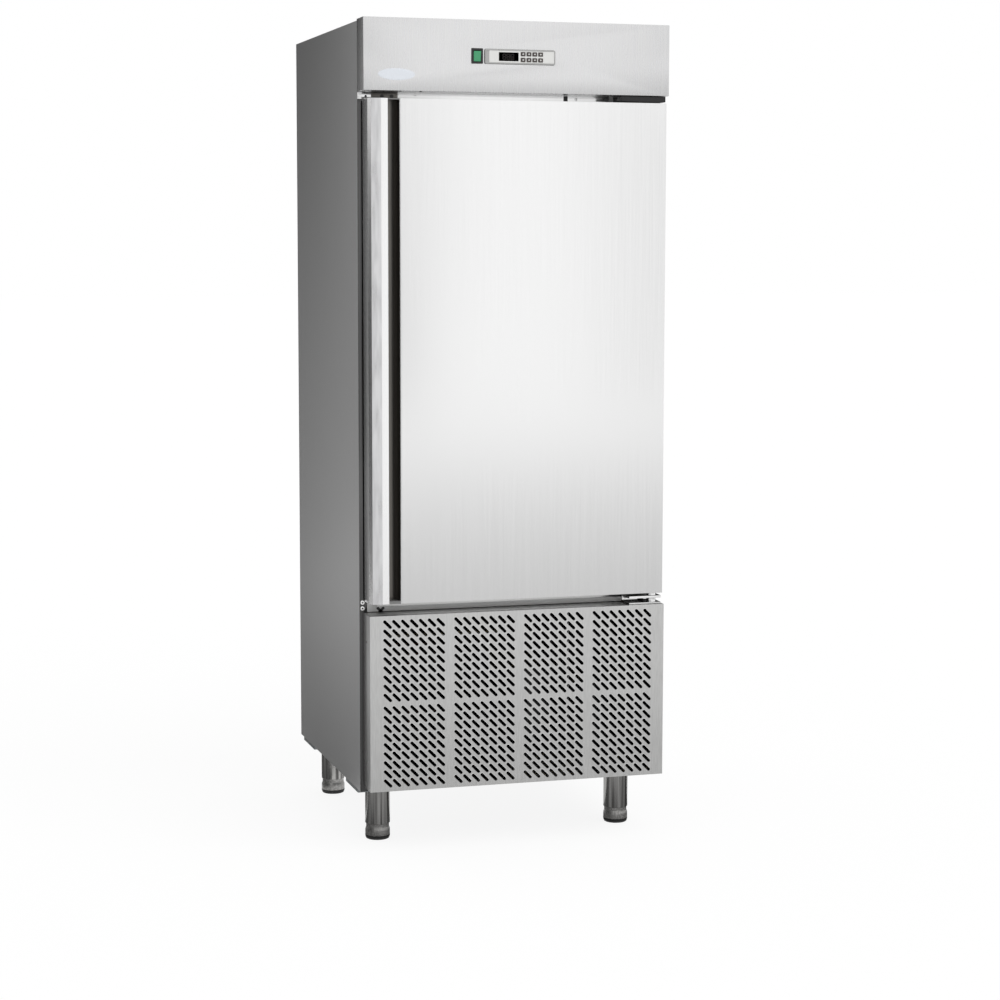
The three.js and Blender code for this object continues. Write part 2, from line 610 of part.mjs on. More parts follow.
// ---------- rear cover and cable gland ----------
function rearCover() {
  const inside = SKIN_INNER - FIT;
  const y = BACK - REAR_RECESS;
  const bottom = TRAY_TOP + FIT;
  const top = BOX_BOTTOM - FIT;
  const middle = (bottom + top) / 2;
  const glandX = SIDE - GLAND_INSET;
  const glandZ = TRAY_TOP + GLAND_RISE;
  const louvreEnd = SIDE - LOUVRE_INSET;
  const louvres = Array.from({ length: LOUVRE_COUNT }, (_, index) => {
    const z = middle + (index - (LOUVRE_COUNT - 1) / 2) * LOUVRE_PITCH;
    return block(
      -louvreEnd, louvreEnd, y - 2 * SHEET, y + SHEET, z - LOUVRE_HEIGHT / 2, z + LOUVRE_HEIGHT / 2,
    );
  });
  const glandHole = forward(GLAND_RADIUS + FIT, -2 * SHEET, SHEET).translate(glandX, y, glandZ);
  const sheet = block(-inside, inside, y - SHEET, y, bottom, top);
  piece('rear_cover', cut(sheet, ...louvres, glandHole), STAINLESS_DARK, chiller);
  const stem = forward(GLAND_RADIUS, -SHEET - GLAND_TAIL, FIT);
  const nut = forward(GLAND_RADIUS * 1.4, FIT, GLAND_LENGTH, 12);
  const cableHole = forward(GLAND_RADIUS / 2, -SHEET - GLAND_TAIL - SHEET, GLAND_LENGTH + SHEET, 12);
  const gland = cut(join(stem.translate(0, FIT / 2, 0), nut), cableHole);
  piece('cable_gland', gland, BLACK_PLASTIC, chiller, [glandX, y, glandZ]);
}

// ---------- legs ----------
function legs() {
  const flangeTop = BASE - CHANNEL_DEPTH - FIT;
  const flangeBottom = flangeTop - LEG_FLANGE_THICKNESS;
  const bore = LEG_RADIUS - LEG_WALL;
  const tube = join(
    turned([[0, flangeTop], [LEG_RADIUS, flangeTop], [LEG_RADIUS, LEG_LOWER_END], [bore, LEG_LOWER_END],
      [bore, flangeBottom], [0, flangeBottom]].reverse()),
    raise(roundedRectangle(LEG_FLANGE, LEG_FLANGE, 8), flangeBottom, flangeTop, 2),
  );
  const stem = bore - FOOT_CLEARANCE;
  const waist = FOOT_WAIST_RADIUS;
  const foot = turned([
    [0, 0], [waist, 0], [FOOT_BASE_RADIUS - FOOT_SOLE_DRAFT, FOOT_SOLE_EDGE],
    [FOOT_BASE_RADIUS, FOOT_BASE_BOTTOM], [FOOT_BASE_RADIUS, FOOT_BASE_TOP],
    [waist, FOOT_WAIST_BOTTOM], [waist, LEG_LOWER_END + FOOT_SOLE_EDGE],
    [stem, LEG_LOWER_END + 2 * FOOT_SOLE_EDGE], [stem, FOOT_STEM_TOP], [0, FOOT_STEM_TOP],
  ]);
  const x = SIDE - LEG_INSET;
  const places = {
    front_left: [-x, CARCASS_FRONT + LEG_SETBACK],
    front_right: [x, CARCASS_FRONT + LEG_SETBACK],
    rear_left: [-x, BACK - LEG_SETBACK],
    rear_right: [x, BACK - LEG_SETBACK],
  };
  for (const [corner, [legX, legY]] of Object.entries(places)) {
    const leg = groupAt(chiller, legX, legY, 0);
    piece(`leg_${corner}`, tube, STAINLESS_DARK, leg);
    piece(`foot_${corner}`, foot, STAINLESS_DARK, leg);
  }
}

// ---------- chamber fittings ----------
function trayRack(name, side) {
  const wall = side * (OPENING_SIDE - FIT);
  const face = side * (OPENING_SIDE - UPRIGHT_STANDOFF);
  const span = (a, b) => [Math.min(a, b), Math.max(a, b)];
  const start = CARCASS_FRONT + RUNNER_SETBACK;
  const end = start + RUNNER_LENGTH;
  const uprights = [start + UPRIGHT_INSET, end - UPRIGHT_INSET - UPRIGHT_WIDTH].map((y) => block(
    ...span(wall, face), y, y + UPRIGHT_WIDTH, OPENING_BOTTOM + UPRIGHT_MARGIN, OPENING_TOP - UPRIGHT_MARGIN,
  ));
  const pitch = (OPENING_TOP - OPENING_BOTTOM - RACK_FIRST - RACK_HEADROOM) / (RACK_LEVELS - 1);
  const runners = Array.from({ length: RACK_LEVELS }, (_, level) => {
    const z = OPENING_BOTTOM + RACK_FIRST + level * pitch;
    const ledge = block(...span(face, face - side * RUNNER_LEDGE), start, end, z, z + RUNNER_SHEET);
    const top = z + RUNNER_SHEET;
    const web = block(...span(face + side * RUNNER_SHEET, face), start, end, top - RUNNER_WEB, top);
    return [ledge, web];
  });
  piece(name, join(...uprights, ...runners.flat()), STAINLESS, chiller);
}

// A fan wheel about the y axis, with its hub from y = 0 back to the hub length.
function fanWheel(radius) {
  const hub = forward(FAN_HUB_RADIUS, 0, FAN_HUB_LENGTH, 20);
  const spread = Math.PI / FAN_BLADES;
  const root = FAN_HUB_RADIUS * 0.9;
  const reach = Math.sqrt(radius ** 2 - (FAN_HUB_LENGTH / 2) ** 2);
  const blade = shapeOf([
    [root * 0.25, -root * 0.4], [reach * Math.cos(spread * 0.7), -reach * Math.sin(spread * 0.7)],
    [reach * Math.cos(spread * 0.25), -reach * Math.sin(spread * 0.25)],
    [reach * Math.cos(spread * 0.25), reach * Math.sin(spread * 0.25)],
    [reach * Math.cos(spread * 0.6), reach * Math.sin(spread * 0.6)], [root * 0.25, root * 0.4],
  ]);
  const blades = Array.from({ length: FAN_BLADES }, (_, index) => {
    const flat = carryBack(blade, -FAN_BLADE_THICKNESS / 2, FAN_BLADE_THICKNESS / 2);
    flat.rotateX(FAN_BLADE_PITCH).translate(0, FAN_HUB_LENGTH / 2, 0);
    return flat.rotateY((index * 2 * Math.PI) / FAN_BLADES);
  });
  const envelope = forward(radius, 0, FAN_HUB_LENGTH, 40);
  const trimmed = solidOf(join(...blades)).intersect(solidOf(envelope));
  return geometryOf(solidOf(hub).add(trimmed));
}

// A fan motor on a spider of arms; the arms' pads meet the back of the sheet at y = 0.
function spiderMotor(openingRadius, motorRadius, motorLength) {
  const shaftEnd = FAN_SHEET_GAP + FAN_HUB_LENGTH + FIT;
  const motorFront = shaftEnd + MOTOR_SHAFT_LENGTH;
  const can = forward(motorRadius, motorFront, motorFront + motorLength, 20);
  const shaft = forward(MOTOR_SHAFT_RADIUS, shaftEnd, motorFront + SHEET, 12);
  const reach = openingRadius + MOTOR_ARM_REACH;
  const armBack = motorFront + MOTOR_ARM_THICKNESS;
  const arms = Array.from({ length: MOTOR_ARMS }, (_, index) => {
    const half = MOTOR_ARM_WIDTH / 2;
    const bar = block(0, reach, motorFront, armBack, -half, half);
    const post = block(reach - MOTOR_ARM_WIDTH, reach, FIT, armBack, -half, half);
    const angle = ((index + 0.5) * 2 * Math.PI) / MOTOR_ARMS;
    return [bar.rotateY(angle), post.rotateY(angle)];
  });
  return join(can, shaft, ...arms.flat());
}

function evaporator() {
  const coverTop = (OPENING_TOP + OPENING_BOTTOM + EVAPORATOR_HEIGHT) / 2;
  const group = groupAt(chiller, 0, LINER_BACK - EVAPORATOR_DEPTH, (OPENING_TOP + OPENING_BOTTOM) / 2);
  const x = OPENING_SIDE - EVAPORATOR_SIDE_GAP;
  const z = EVAPORATOR_HEIGHT / 2;
  const fanHeights = { upper: EVAPORATOR_FAN_SPACING / 2, lower: -EVAPORATOR_FAN_SPACING / 2 };
  const holes = Object.values(fanHeights).map(
    (height) => forward(FAN_OPENING_RADIUS, -SHEET, COVER_SHEET + SHEET, 32).translate(0, 0, height),
  );
  const shell = block(-x, x, 0, EVAPORATOR_DEPTH - FIT, -z, z);
  const inner = block(
    COVER_SHEET - x, x - COVER_SHEET, COVER_SHEET, EVAPORATOR_DEPTH + SHEET, -z - SHEET, z + SHEET,
  );
  piece('evaporator_cover', cut(shell, inner, ...holes), STAINLESS, group);
  const coilX = x - COVER_SHEET - FIT;
  const coilBack = EVAPORATOR_DEPTH - COIL_SETBACK;
  const coilTop = coverTop - group.position.z - COIL_MARGIN;
  const coil = block(-coilX, coilX, coilBack - COIL_THICKNESS, coilBack, -coilTop, coilTop);
  piece('evaporator_coil', coil, FIN_ALUMINIUM, group);
  const motor = spiderMotor(FAN_OPENING_RADIUS, EVAPORATOR_MOTOR_RADIUS, EVAPORATOR_MOTOR_LENGTH);
  const wheel = fanWheel(EVAPORATOR_FAN_RADIUS);
  for (const [level, height] of Object.entries(fanHeights)) {
    piece(`evaporator_fan_motor_${level}`, motor, BLACK_PAINT, group, [0, COVER_SHEET, height]);
    piece(`evaporator_fan_${level}`, wheel, BLACK_PLASTIC, group, [0, COVER_SHEET + FAN_SHEET_GAP, height]);
  }
}

// ---------- machine compartment ----------
function condenser() {
  const x = CONDENSER_WIDTH / 2;
  const left = CONDENSER_INSET - SIDE;
  const group = groupAt(chiller, left + x, CARCASS_FRONT + CONDENSER_SETBACK, TRAY_TOP + FIT);
  const finX = x - CONDENSER_PLATE;
  piece('condenser_coil', join(
    block(
      -finX - SHEET, finX + SHEET, CONDENSER_PLATE, CONDENSER_THICKNESS - CONDENSER_PLATE,
      CONDENSER_PLATE, CONDENSER_HEIGHT - CONDENSER_PLATE,
    ),
    block(-x, -finX, 0, CONDENSER_THICKNESS, 0, CONDENSER_HEIGHT),
    block(finX, x, 0, CONDENSER_THICKNESS, 0, CONDENSER_HEIGHT),
  ), FIN_ALUMINIUM, group);
  const shroudFront = CONDENSER_THICKNESS + FIT;
  const shroudBack = shroudFront + SHROUD_DEPTH;
  const middle = CONDENSER_HEIGHT / 2;
  const shell = block(-x, x, shroudFront, shroudBack, 0, CONDENSER_HEIGHT);
  const inner = block(
    SHROUD_SHEET - x, x - SHROUD_SHEET, shroudFront - SHEET, shroudBack - SHROUD_SHEET,
    SHROUD_SHEET, CONDENSER_HEIGHT - SHROUD_SHEET,
  );
  const hole = forward(SHROUD_OPENING_RADIUS, shroudBack - 2 * SHROUD_SHEET, shroudBack + SHEET, 32);
  piece('condenser_shroud', cut(shell, inner, hole.translate(0, 0, middle)), GALVANISED, group);
  const motor = spiderMotor(SHROUD_OPENING_RADIUS, CONDENSER_MOTOR_RADIUS, CONDENSER_MOTOR_LENGTH);
  piece('condenser_fan_motor', motor, BLACK_PAINT, group, [0, shroudBack, middle]);
  const wheel = fanWheel(CONDENSER_FAN_RADIUS);
  piece('condenser_fan', wheel, BLACK_PLASTIC, group, [0, shroudBack + FAN_SHEET_GAP, middle]);
}

function compressor() {
  const plateBottom = COMPRESSOR_FOOT_HEIGHT;
  const domeBottom = plateBottom + COMPRESSOR_PLATE;
  const shoulder = domeBottom + COMPRESSOR_HEIGHT * 0.72;
  const crown = domeBottom + COMPRESSOR_HEIGHT;
  const radius = COMPRESSOR_RADIUS;
  const seam = radius + COMPRESSOR_SEAM_PROUD;
  const seamTop = shoulder - COMPRESSOR_SEAM_DROP;
  const seamBottom = seamTop - COMPRESSOR_SEAM_HEIGHT;
  const dome = turned([
    [0, plateBottom], [radius * 0.8, plateBottom], [radius, domeBottom + 20], [radius, seamBottom],
    [seam, seamBottom + COMPRESSOR_SEAM_PROUD], [seam, seamTop - COMPRESSOR_SEAM_PROUD], [radius, seamTop],
    [radius, shoulder],
    [radius * 0.86, shoulder + (crown - shoulder) * 0.55], [radius * 0.5, crown - 6], [0, crown],
  ]);
  const half = COMPRESSOR_FOOT_SPAN / 2;
  const rim = half + COMPRESSOR_FOOT_RADIUS;
  const plate = block(-rim, rim, -rim, rim, plateBottom, domeBottom);
  const feet = [[-half, -half], [half, -half], [-half, half], [half, half]].map(
    ([x, y]) => upright(COMPRESSOR_FOOT_RADIUS * 0.9, 0, plateBottom + 1, 12).translate(x, y, 0),
  );
  const terminalBottom = domeBottom + TERMINAL_BOX_RISE;
  const terminalBox = block(
    -TERMINAL_BOX_WIDTH / 2, TERMINAL_BOX_WIDTH / 2,
    -radius - TERMINAL_BOX_REACH, -radius + TERMINAL_BOX_SEAT,
    terminalBottom, terminalBottom + TERMINAL_BOX_HEIGHT,
  );
  piece('compressor', join(dome, plate, terminalBox, ...feet), BLACK_PAINT, chiller,
    [SIDE - COMPRESSOR_INSET, COMPRESSOR_Y, TRAY_TOP + FIT]);
}

function liquidReceiver() {
  const radius = RECEIVER_RADIUS;
  const top = RECEIVER_HEIGHT;
  const vessel = turned([
    [0, 0], [radius * 0.75, 0], [radius * 0.75, RECEIVER_FOOT],
    [radius * 0.8, RECEIVER_FOOT + RECEIVER_END * 0.2], [radius, RECEIVER_FOOT + RECEIVER_END],
    [radius, top - RECEIVER_END], [radius * 0.6, top - RECEIVER_END * 0.25], [RECEIVER_VALVE_RADIUS, top],
    [RECEIVER_VALVE_RADIUS, top + RECEIVER_VALVE_HEIGHT], [0, top + RECEIVER_VALVE_HEIGHT],
  ], 20);
  const footPlate = block(-radius, radius, -radius, radius, 0, RECEIVER_FOOT / 2);
  piece('liquid_receiver', join(vessel, footPlate), BLACK_PAINT, chiller,
    [SIDE - RECEIVER_INSET, RECEIVER_Y, TRAY_TOP + FIT]);
}

function electricalBox() {
  const x = SIDE - ELECTRICAL_INSET;
  const half = ELECTRICAL_WIDTH / 2;
  const lidHalf = half + ELECTRICAL_LIP;
  const top = TOP - SHEET - FIT;
  const bottom = top - ELECTRICAL_HEIGHT;
  const front = CARCASS_FRONT + ELECTRICAL_SETBACK;
  piece('electrical_box', join(
    block(x - half, x + half, front, front + ELECTRICAL_DEPTH, bottom, top),
    block(x - lidHalf, x + lidHalf, front - ELECTRICAL_LID, front + SHEET, bottom - ELECTRICAL_LIP, top),
  ), GALVANISED, chiller);
}

// ---------- hinges ----------
function hingeBracket(name, armLength, armZs, plateZ, pinZ, boss) {
  const armRight = HINGE_X + HINGE_INSET;
  const back = CARCASS_FRONT - FIT;
  const arms = armZs.map((z) => block(armRight - armLength, armRight, FRONT + ARM_FRONT_SETBACK, back, ...z));
  const plate = block(armRight - armLength, armRight, back - HINGE_PLATE, back, ...plateZ);
  const pin = upright(PIN_RADIUS, ...pinZ, 20).translate(HINGE_X, HINGE_Y, 0);
  const base = upright(boss.radius, ...boss.z, 20).translate(HINGE_X, HINGE_Y, 0);
  piece(name, join(plate, ...arms, pin, base), BLACK_METAL, chiller);
}

function hinges() {
  const topArmBottom = DOOR_TOP + TOP_ARM_GAP;
  const topArmTop = topArmBottom + TOP_ARM_THICKNESS;
  hingeBracket(
    'hinge_bracket_top', TOP_ARM_LENGTH, [[topArmBottom, topArmTop]],
    [topArmBottom, topArmTop], [DOOR_TOP - PIN_ENGAGEMENT, topArmTop],
    { radius: CAM_RADIUS, z: [DOOR_TOP + FIT, topArmTop] },
  );
  const bottomArmTop = DOOR_BOTTOM - BOTTOM_ARM_GAP;
  const bottomArmBottom = bottomArmTop - BOTTOM_ARM_THICKNESS;
  const footPlateBottom = GRILLE_TOP + FOOT_PLATE_GAP;
  hingeBracket(
    'hinge_bracket_bottom', BOTTOM_ARM_LENGTH,
    [[bottomArmBottom, bottomArmTop], [footPlateBottom, footPlateBottom + FOOT_PLATE_THICKNESS]],
    [footPlateBottom, DOOR_BOTTOM - BOTTOM_PLATE_GAP], [bottomArmTop - SHEET, DOOR_BOTTOM + PIN_ENGAGEMENT],
    { radius: CAM_RADIUS, z: [footPlateBottom, DOOR_BOTTOM - FIT] },
  );
}

// ---------- door ----------
// The door's own frame: x from its grip edge, y from its face, z from its bottom edge.
function gripContour() {
  const scoopMiddle = (SCOOP_START + GRIP_WIDTH - SCOOP_EDGE) / 2;
  const scoopHalf = scoopMiddle - SCOOP_START;
  const steps = 10;
  const scoop = Array.from({ length: steps + 1 }, (_, index) => {
    const angle = Math.PI - (index / steps) * Math.PI;
    return [
      scoopMiddle + scoopHalf * Math.cos(angle),
      LIP_THICKNESS + (SCOOP_DEPTH - LIP_THICKNESS) * Math.sin(angle),
    ];
  });
  return [
    [0, DOOR_BODY], [0, GRIP_BEVEL_DEPTH], [GRIP_BEVEL_WIDTH, GRIP_SLOPE], [GRIP_CREASE, 0], [GRIP_LIP, 0],
    [GRIP_LIP, LIP_THICKNESS], ...scoop, [GRIP_WIDTH, 0], [GRIP_WIDTH, GRIP_RETURN],
  ];
}

function door() {
  const group = groupAt(chiller, DOOR_LEFT, FRONT, DOOR_BOTTOM);
  const contour = gripContour();
  const capPlan = shapeOf([
    [0, DOOR_BODY], [0, GRIP_BEVEL_DEPTH], [GRIP_BEVEL_WIDTH, GRIP_SLOPE], [GRIP_CREASE, 0], [GRIP_WIDTH, 0],
    [GRIP_WIDTH, DOOR_BODY],
  ]);
  piece('door_grip', join(
    raise(foldedSheet(contour, GRIP_SHEET), 0, DOOR_HEIGHT),
    raise(capPlan, 0, GRIP_CAP),
    raise(capPlan, DOOR_HEIGHT - GRIP_CAP, DOOR_HEIGHT),
  ), STAINLESS, group);

  const left = GRIP_WIDTH + FIT;
  const boreX = DOOR_WIDTH - HINGE_INSET;
  const bore = (radius, z0, z1) => upright(radius, z0, z1, 20).translate(boreX, HINGE_SETBACK, 0);
  const boreRadius = PIN_RADIUS + PIN_CLEARANCE;
  const boreDepth = PIN_ENGAGEMENT + 2;
  const bores = [
    bore(boreRadius, -1, boreDepth),
    bore(boreRadius, DOOR_HEIGHT - boreDepth, DOOR_HEIGHT + 1),
  ];
  piece('door_outer_skin', cut(
    block(left, DOOR_WIDTH, 0, DOOR_BODY, 0, DOOR_HEIGHT),
    block(left + SHEET, DOOR_WIDTH - SHEET, SHEET, DOOR_BODY + SHEET, SHEET, DOOR_HEIGHT - SHEET),
    block(left - SHEET, left + 2 * SHEET, GRIP_RETURN, DOOR_BODY + SHEET, SHEET, DOOR_HEIGHT - SHEET),
    ...bores,
  ), STAINLESS, group);

  const behindScoop = SCOOP_DEPTH + 2 * GRIP_SHEET;
  const besideReturn = left + 2 * SHEET + FIT;
  const foamRight = DOOR_WIDTH - SHEET - FIT;
  const foamFront = SHEET + FIT;
  const foamLeft = GRIP_SHEET + FIT;
  const foamBack = DOOR_BODY;
  const foamPlan = shapeOf([
    [foamLeft, foamBack], [foamLeft, behindScoop], [besideReturn, behindScoop], [besideReturn, foamFront],
    [foamRight, foamFront], [foamRight, foamBack],
  ]);
  const foamEnd = GRIP_CAP + FIT;
  piece('door_foam', cut(raise(foamPlan, foamEnd, DOOR_HEIGHT - foamEnd), ...bores), FOAM, group);

  const linerFront = DOOR_BODY + FIT;
  const linerBack = linerFront + SHEET;
  const gasketBack = FRONT_DEPTH - FIT;
  const gasketRight = boreX - GASKET_HINGE_GAP;
  const ring = (inset, y0, y1) => block(
    GASKET_INSET + inset, gasketRight - inset, y0, y1,
    GASKET_END_INSET + inset, DOOR_HEIGHT - GASKET_END_INSET - inset,
  );
  const dish = GASKET_WIDTH + LINER_DISH_MARGIN;
  piece('door_inner_liner', cut(
    join(
      block(0, DOOR_WIDTH, linerFront, linerBack, 0, DOOR_HEIGHT),
      ring(dish, linerFront, linerBack + LINER_DISH),
    ),
    ring(dish + SHEET, linerFront - SHEET, linerBack + LINER_DISH - SHEET),
  ), STAINLESS, group);
  piece('door_gasket', cut(
    ring(0, linerBack + FIT, gasketBack),
    ring(GASKET_WIDTH, linerBack, gasketBack + SHEET),
  ), GREY_RUBBER, group);
}

outerPanels();
baseTray();
insulatedBox();
controlFascia();
grille();
rearCover();
legs();
trayRack('tray_rack_left', -1);
trayRack('tray_rack_right', 1);
evaporator();
condenser();
compressor();
liquidReceiver();
electricalBox();
hinges();
door();

export default chiller;
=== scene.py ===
# %% [markdown]
# # A tall blast chiller in stainless steel
# A blast chiller takes a trolley's worth of hot food from the oven and cools it in an hour or two. The cabinet is
# folded stainless sheet over foam, with one tall door, a control box above it and a ventilated service panel below.
# The engineering model gives every body and its place. Here each body gets its finish, and the pieces that show
# in the photograph are made again with their bends, slots, screws and mouldings.

# %% Load the engineering model
import json
import math

import bmesh
import bpy
from mathutils import Matrix, Vector


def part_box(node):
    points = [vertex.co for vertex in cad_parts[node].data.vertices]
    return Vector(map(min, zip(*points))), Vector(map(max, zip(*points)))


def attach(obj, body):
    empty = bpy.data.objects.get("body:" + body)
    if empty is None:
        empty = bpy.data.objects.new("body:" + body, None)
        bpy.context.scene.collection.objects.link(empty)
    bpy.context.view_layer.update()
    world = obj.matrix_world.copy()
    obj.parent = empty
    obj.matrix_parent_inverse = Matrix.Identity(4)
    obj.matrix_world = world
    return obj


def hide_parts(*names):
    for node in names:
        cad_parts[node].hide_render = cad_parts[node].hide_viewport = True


MM = 0.001
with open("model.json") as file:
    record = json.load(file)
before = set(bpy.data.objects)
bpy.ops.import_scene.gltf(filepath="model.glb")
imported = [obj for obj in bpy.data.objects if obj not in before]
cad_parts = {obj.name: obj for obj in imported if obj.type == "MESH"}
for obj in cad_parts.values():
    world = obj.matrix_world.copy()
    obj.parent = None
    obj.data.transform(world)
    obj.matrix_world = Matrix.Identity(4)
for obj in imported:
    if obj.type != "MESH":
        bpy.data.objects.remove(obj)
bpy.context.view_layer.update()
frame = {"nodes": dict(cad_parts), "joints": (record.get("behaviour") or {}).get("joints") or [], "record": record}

# %% [markdown]
# ## Camera
# The photograph was taken from the front left, a little above the middle of the cabinet, with a long lens. The
# place and lens below come from fitting the cabinet's corners to the photograph, so the frame is square and
# nothing is shifted.

# %% Camera
CAMERA_PLACE = Vector((-1742.4, -6113.0, 1554.6)) * MM
CAMERA_YAW = math.radians(16.53)
CAMERA_PITCH = math.radians(6.26)
CAMERA_ROLL = math.radians(0.104)
SENSOR_WIDTH = 36.0
LENS = 84.65


def point_camera():
    forward = Vector((
        math.sin(CAMERA_YAW) * math.cos(CAMERA_PITCH),
        math.cos(CAMERA_YAW) * math.cos(CAMERA_PITCH),
        -math.sin(CAMERA_PITCH),
    ))
    level = Vector((math.cos(CAMERA_YAW), -math.sin(CAMERA_YAW), 0))
    above = level.cross(forward)
    right = level * math.cos(CAMERA_ROLL) + above * math.sin(CAMERA_ROLL)
    up = above * math.cos(CAMERA_ROLL) - level * math.sin(CAMERA_ROLL)
    data = bpy.data.cameras.new("camera")
    data.lens = LENS
    data.sensor_width = SENSOR_WIDTH
    camera = bpy.data.objects.new("camera", data)
    camera.matrix_world = Matrix((
        (right.x, up.x, -forward.x, CAMERA_PLACE.x),
        (right.y, up.y, -forward.y, CAMERA_PLACE.y),
        (right.z, up.z, -forward.z, CAMERA_PLACE.z),
        (0, 0, 0, 1),
    ))
    bpy.context.scene.collection.objects.link(camera)
    bpy.context.scene.camera = camera
    return camera


print("camera at", tuple(round(v, 3) for v in point_camera().location))

# %% [markdown]
# ## Small tools
# Colours are written as sRGB hex, as a painter's chart gives them, and turned to the linear values that Blender
# works in. One function adds a node with its settings and links, for materials and geometry trees alike.

# %% Colour and node helpers


def linear(hex_colour):
    channels = [int(hex_colour[i:i + 2], 16) / 255 for i in (1, 3, 5)]
    return [c / 12.92 if c <= 0.04045 else ((c + 0.055) / 1.055) ** 2.4 for c in channels] + [1.0]


def add_node(tree, kind, settings=None, links=None):
    node = tree.nodes.new(kind)
    for name, value in (settings or {}).items():
        if isinstance(name, str) and hasattr(node, name):
            setattr(node, name, value)
        else:
            node.inputs[name].default_value = value
    for name, source in (links or {}).items():
        tree.links.new(source, node.inputs[name])
    return node


# %% [markdown]
# ## Metals
# The skin is AISI 304 sheet with a brushed finish: fine scratches that all run up and down, so a reflection is
# smeared sideways and stays sharper along the grain. The real scratches are about 0.1 mm apart and could not be
# seen at this distance, so the streaks here are 2 to 3 mm wide. The door's sheet is given a colour near white,
# brighter than steel is, as painted light. The hidden sheets are the plain mill finish, and the legs are turned
# and polished, with the light and dark streaks of their reflections painted into the tube's colour.

# %% Sheet metal


def new_material(name, settings):
    material = bpy.data.materials.new(name)
    material.use_nodes = True
    tree = material.node_tree
    tree.nodes.clear()
    shader = add_node(tree, "ShaderNodeBsdfPrincipled", settings)
    add_node(tree, "ShaderNodeOutputMaterial", None, {"Surface": shader.outputs["BSDF"]})
    return material, tree, shader


def pattern(tree, kind, scale, settings=None):
    """A texture on the piece's own coordinates, stretched by a scale in patterns per metre along x, y and z."""
    place = add_node(tree, "ShaderNodeTexCoord")
    mapping = add_node(tree, "ShaderNodeMapping", {"Scale": scale}, {"Vector": place.outputs["Object"]})
    return add_node(tree, kind, settings, {"Vector": mapping.outputs["Vector"]})


def spread(tree, value, low, high):
    """Turn a pattern's 0 to 1 into the range from low to high."""
    return add_node(
        tree, "ShaderNodeMapRange", {"From Min": 0.3, "From Max": 0.7, "To Min": low, "To Max": high}, {"Value": value},
    ).outputs["Result"]


def tinted(tree, shader, value, dark, light):
    """Let a pattern move the colour between two close shades."""
    mix = add_node(
        tree, "ShaderNodeMix", {"data_type": "RGBA", 6: linear(dark), 7: linear(light)}, {"Factor": value},
    )
    tree.links.new(mix.outputs[2], shader.inputs["Base Color"])


def bumped(tree, shader, height, distance, strength):
    bump = add_node(
        tree, "ShaderNodeBump", {"Distance": distance * MM, "Strength": strength}, {"Height": height},
    )
    tree.links.new(bump.outputs["Normal"], shader.inputs["Normal"])


def sheet_metal(name, dark, light, roughness, streak, length, grain):
    """Brushed or rolled sheet. Streaks run up and down; sizes in millimetres."""
    material, tree, shader = new_material(name, {"Metallic": 1.0})
    across, along = 1 / (streak * MM), 1 / (length * MM)
    streaks = pattern(tree, "ShaderNodeTexNoise", (across, across, along), {"Scale": 1.0, "Detail": 1.0})
    tinted(tree, shader, spread(tree, streaks.outputs["Fac"], 0.0, 1.0), dark, light)
    rough = spread(tree, streaks.outputs["Fac"], roughness - 0.03, roughness + 0.03)
    tree.links.new(rough, shader.inputs["Roughness"])
    bumped(tree, shader, streaks.outputs["Fac"], grain, 0.1)
    return material


# The door's colour is lifted near white, brighter than steel is: painted light for the door's bright reflection.
door_stainless_painted_light = sheet_metal("brushed_304_stainless", "#F4F4F4", "#F7F7F7", 0.24, 2.2, 260, 0.003)
fascia_stainless = sheet_metal("brushed_304_stainless_fascia", "#E0E0E1", "#E4E4E4", 0.28, 2.4, 120, 0.002)
side_stainless = sheet_metal("brushed_304_stainless_side", "#CBCBCB", "#D1D1D1", 0.36, 2.6, 3, 0.02)
perforated_stainless = sheet_metal("punched_304_stainless", "#CCCCCB", "#D6D6D5", 0.34, 2.6, 30, 0.03)
mill_stainless = sheet_metal("mill_finish_stainless", "#B6B6B6", "#BFBFBF", 0.36, 9.0, 300, 0.03)
# Darker than the door: painted shade for the deep scoop and for the pocket above the door.
recess_painted_shade = sheet_metal("recess_304_painted_shade", "#6C6965", "#777470", 0.38, 2.0, 200, 0.004)
# Dark and glossy: painted shade for the side's front fold beside the door gap.
fold_painted_shade = sheet_metal("fold_304_painted_shade", "#585858", "#606060", 0.12, 3.0, 200, 0.003)
# Greyer than the door: painted shade for the grip strip that slopes away.
sloping_strip_painted_shade = sheet_metal("sloping_strip_304_painted_shade", "#CACACB", "#E2E2E3", 0.30, 12.0, 70, 0.003)
liner_stainless = sheet_metal("satin_304_liner", "#D6D6D6", "#E0E0E0", 0.42, 3.0, 200, 0.004)
polished_stainless = sheet_metal("turned_polished_stainless", "#8E8E8C", "#9C9C9A", 0.16, 3.0, 9, 0.02)
# Light and dark streaks 9 mm wide: painted reflections on the leg tubes.
tube_painted_streaks = sheet_metal("polished_tube_painted_reflections", "#525150", "#C4C3C1", 0.20, 9.0, 300, 0.02)
foot_stainless = sheet_metal("tumbled_cast_stainless", "#777674", "#B8B7B5", 0.36, 2.5, 2.5, 0.06)
trim_stainless = sheet_metal("polished_304_trim", "#E9E9E9", "#EDEDED", 0.10, 4.0, 200, 0.003)
# Near black: painted shade inside the closed machine compartment.
compartment_painted_shade = sheet_metal("steel_sheet_painted_shade", "#141515", "#1C1D1E", 0.75, 3.0, 30, 0.02)

# %% [markdown]
# Galvanised sheet carries zinc crystals, called spangle, that each catch the light at their own angle. A Voronoi
# pattern of about 12 mm cells gives the crystals. The fins are rolled aluminium foil, and the pipes are copper
# that has dulled a little.

# %% Zinc, aluminium and copper


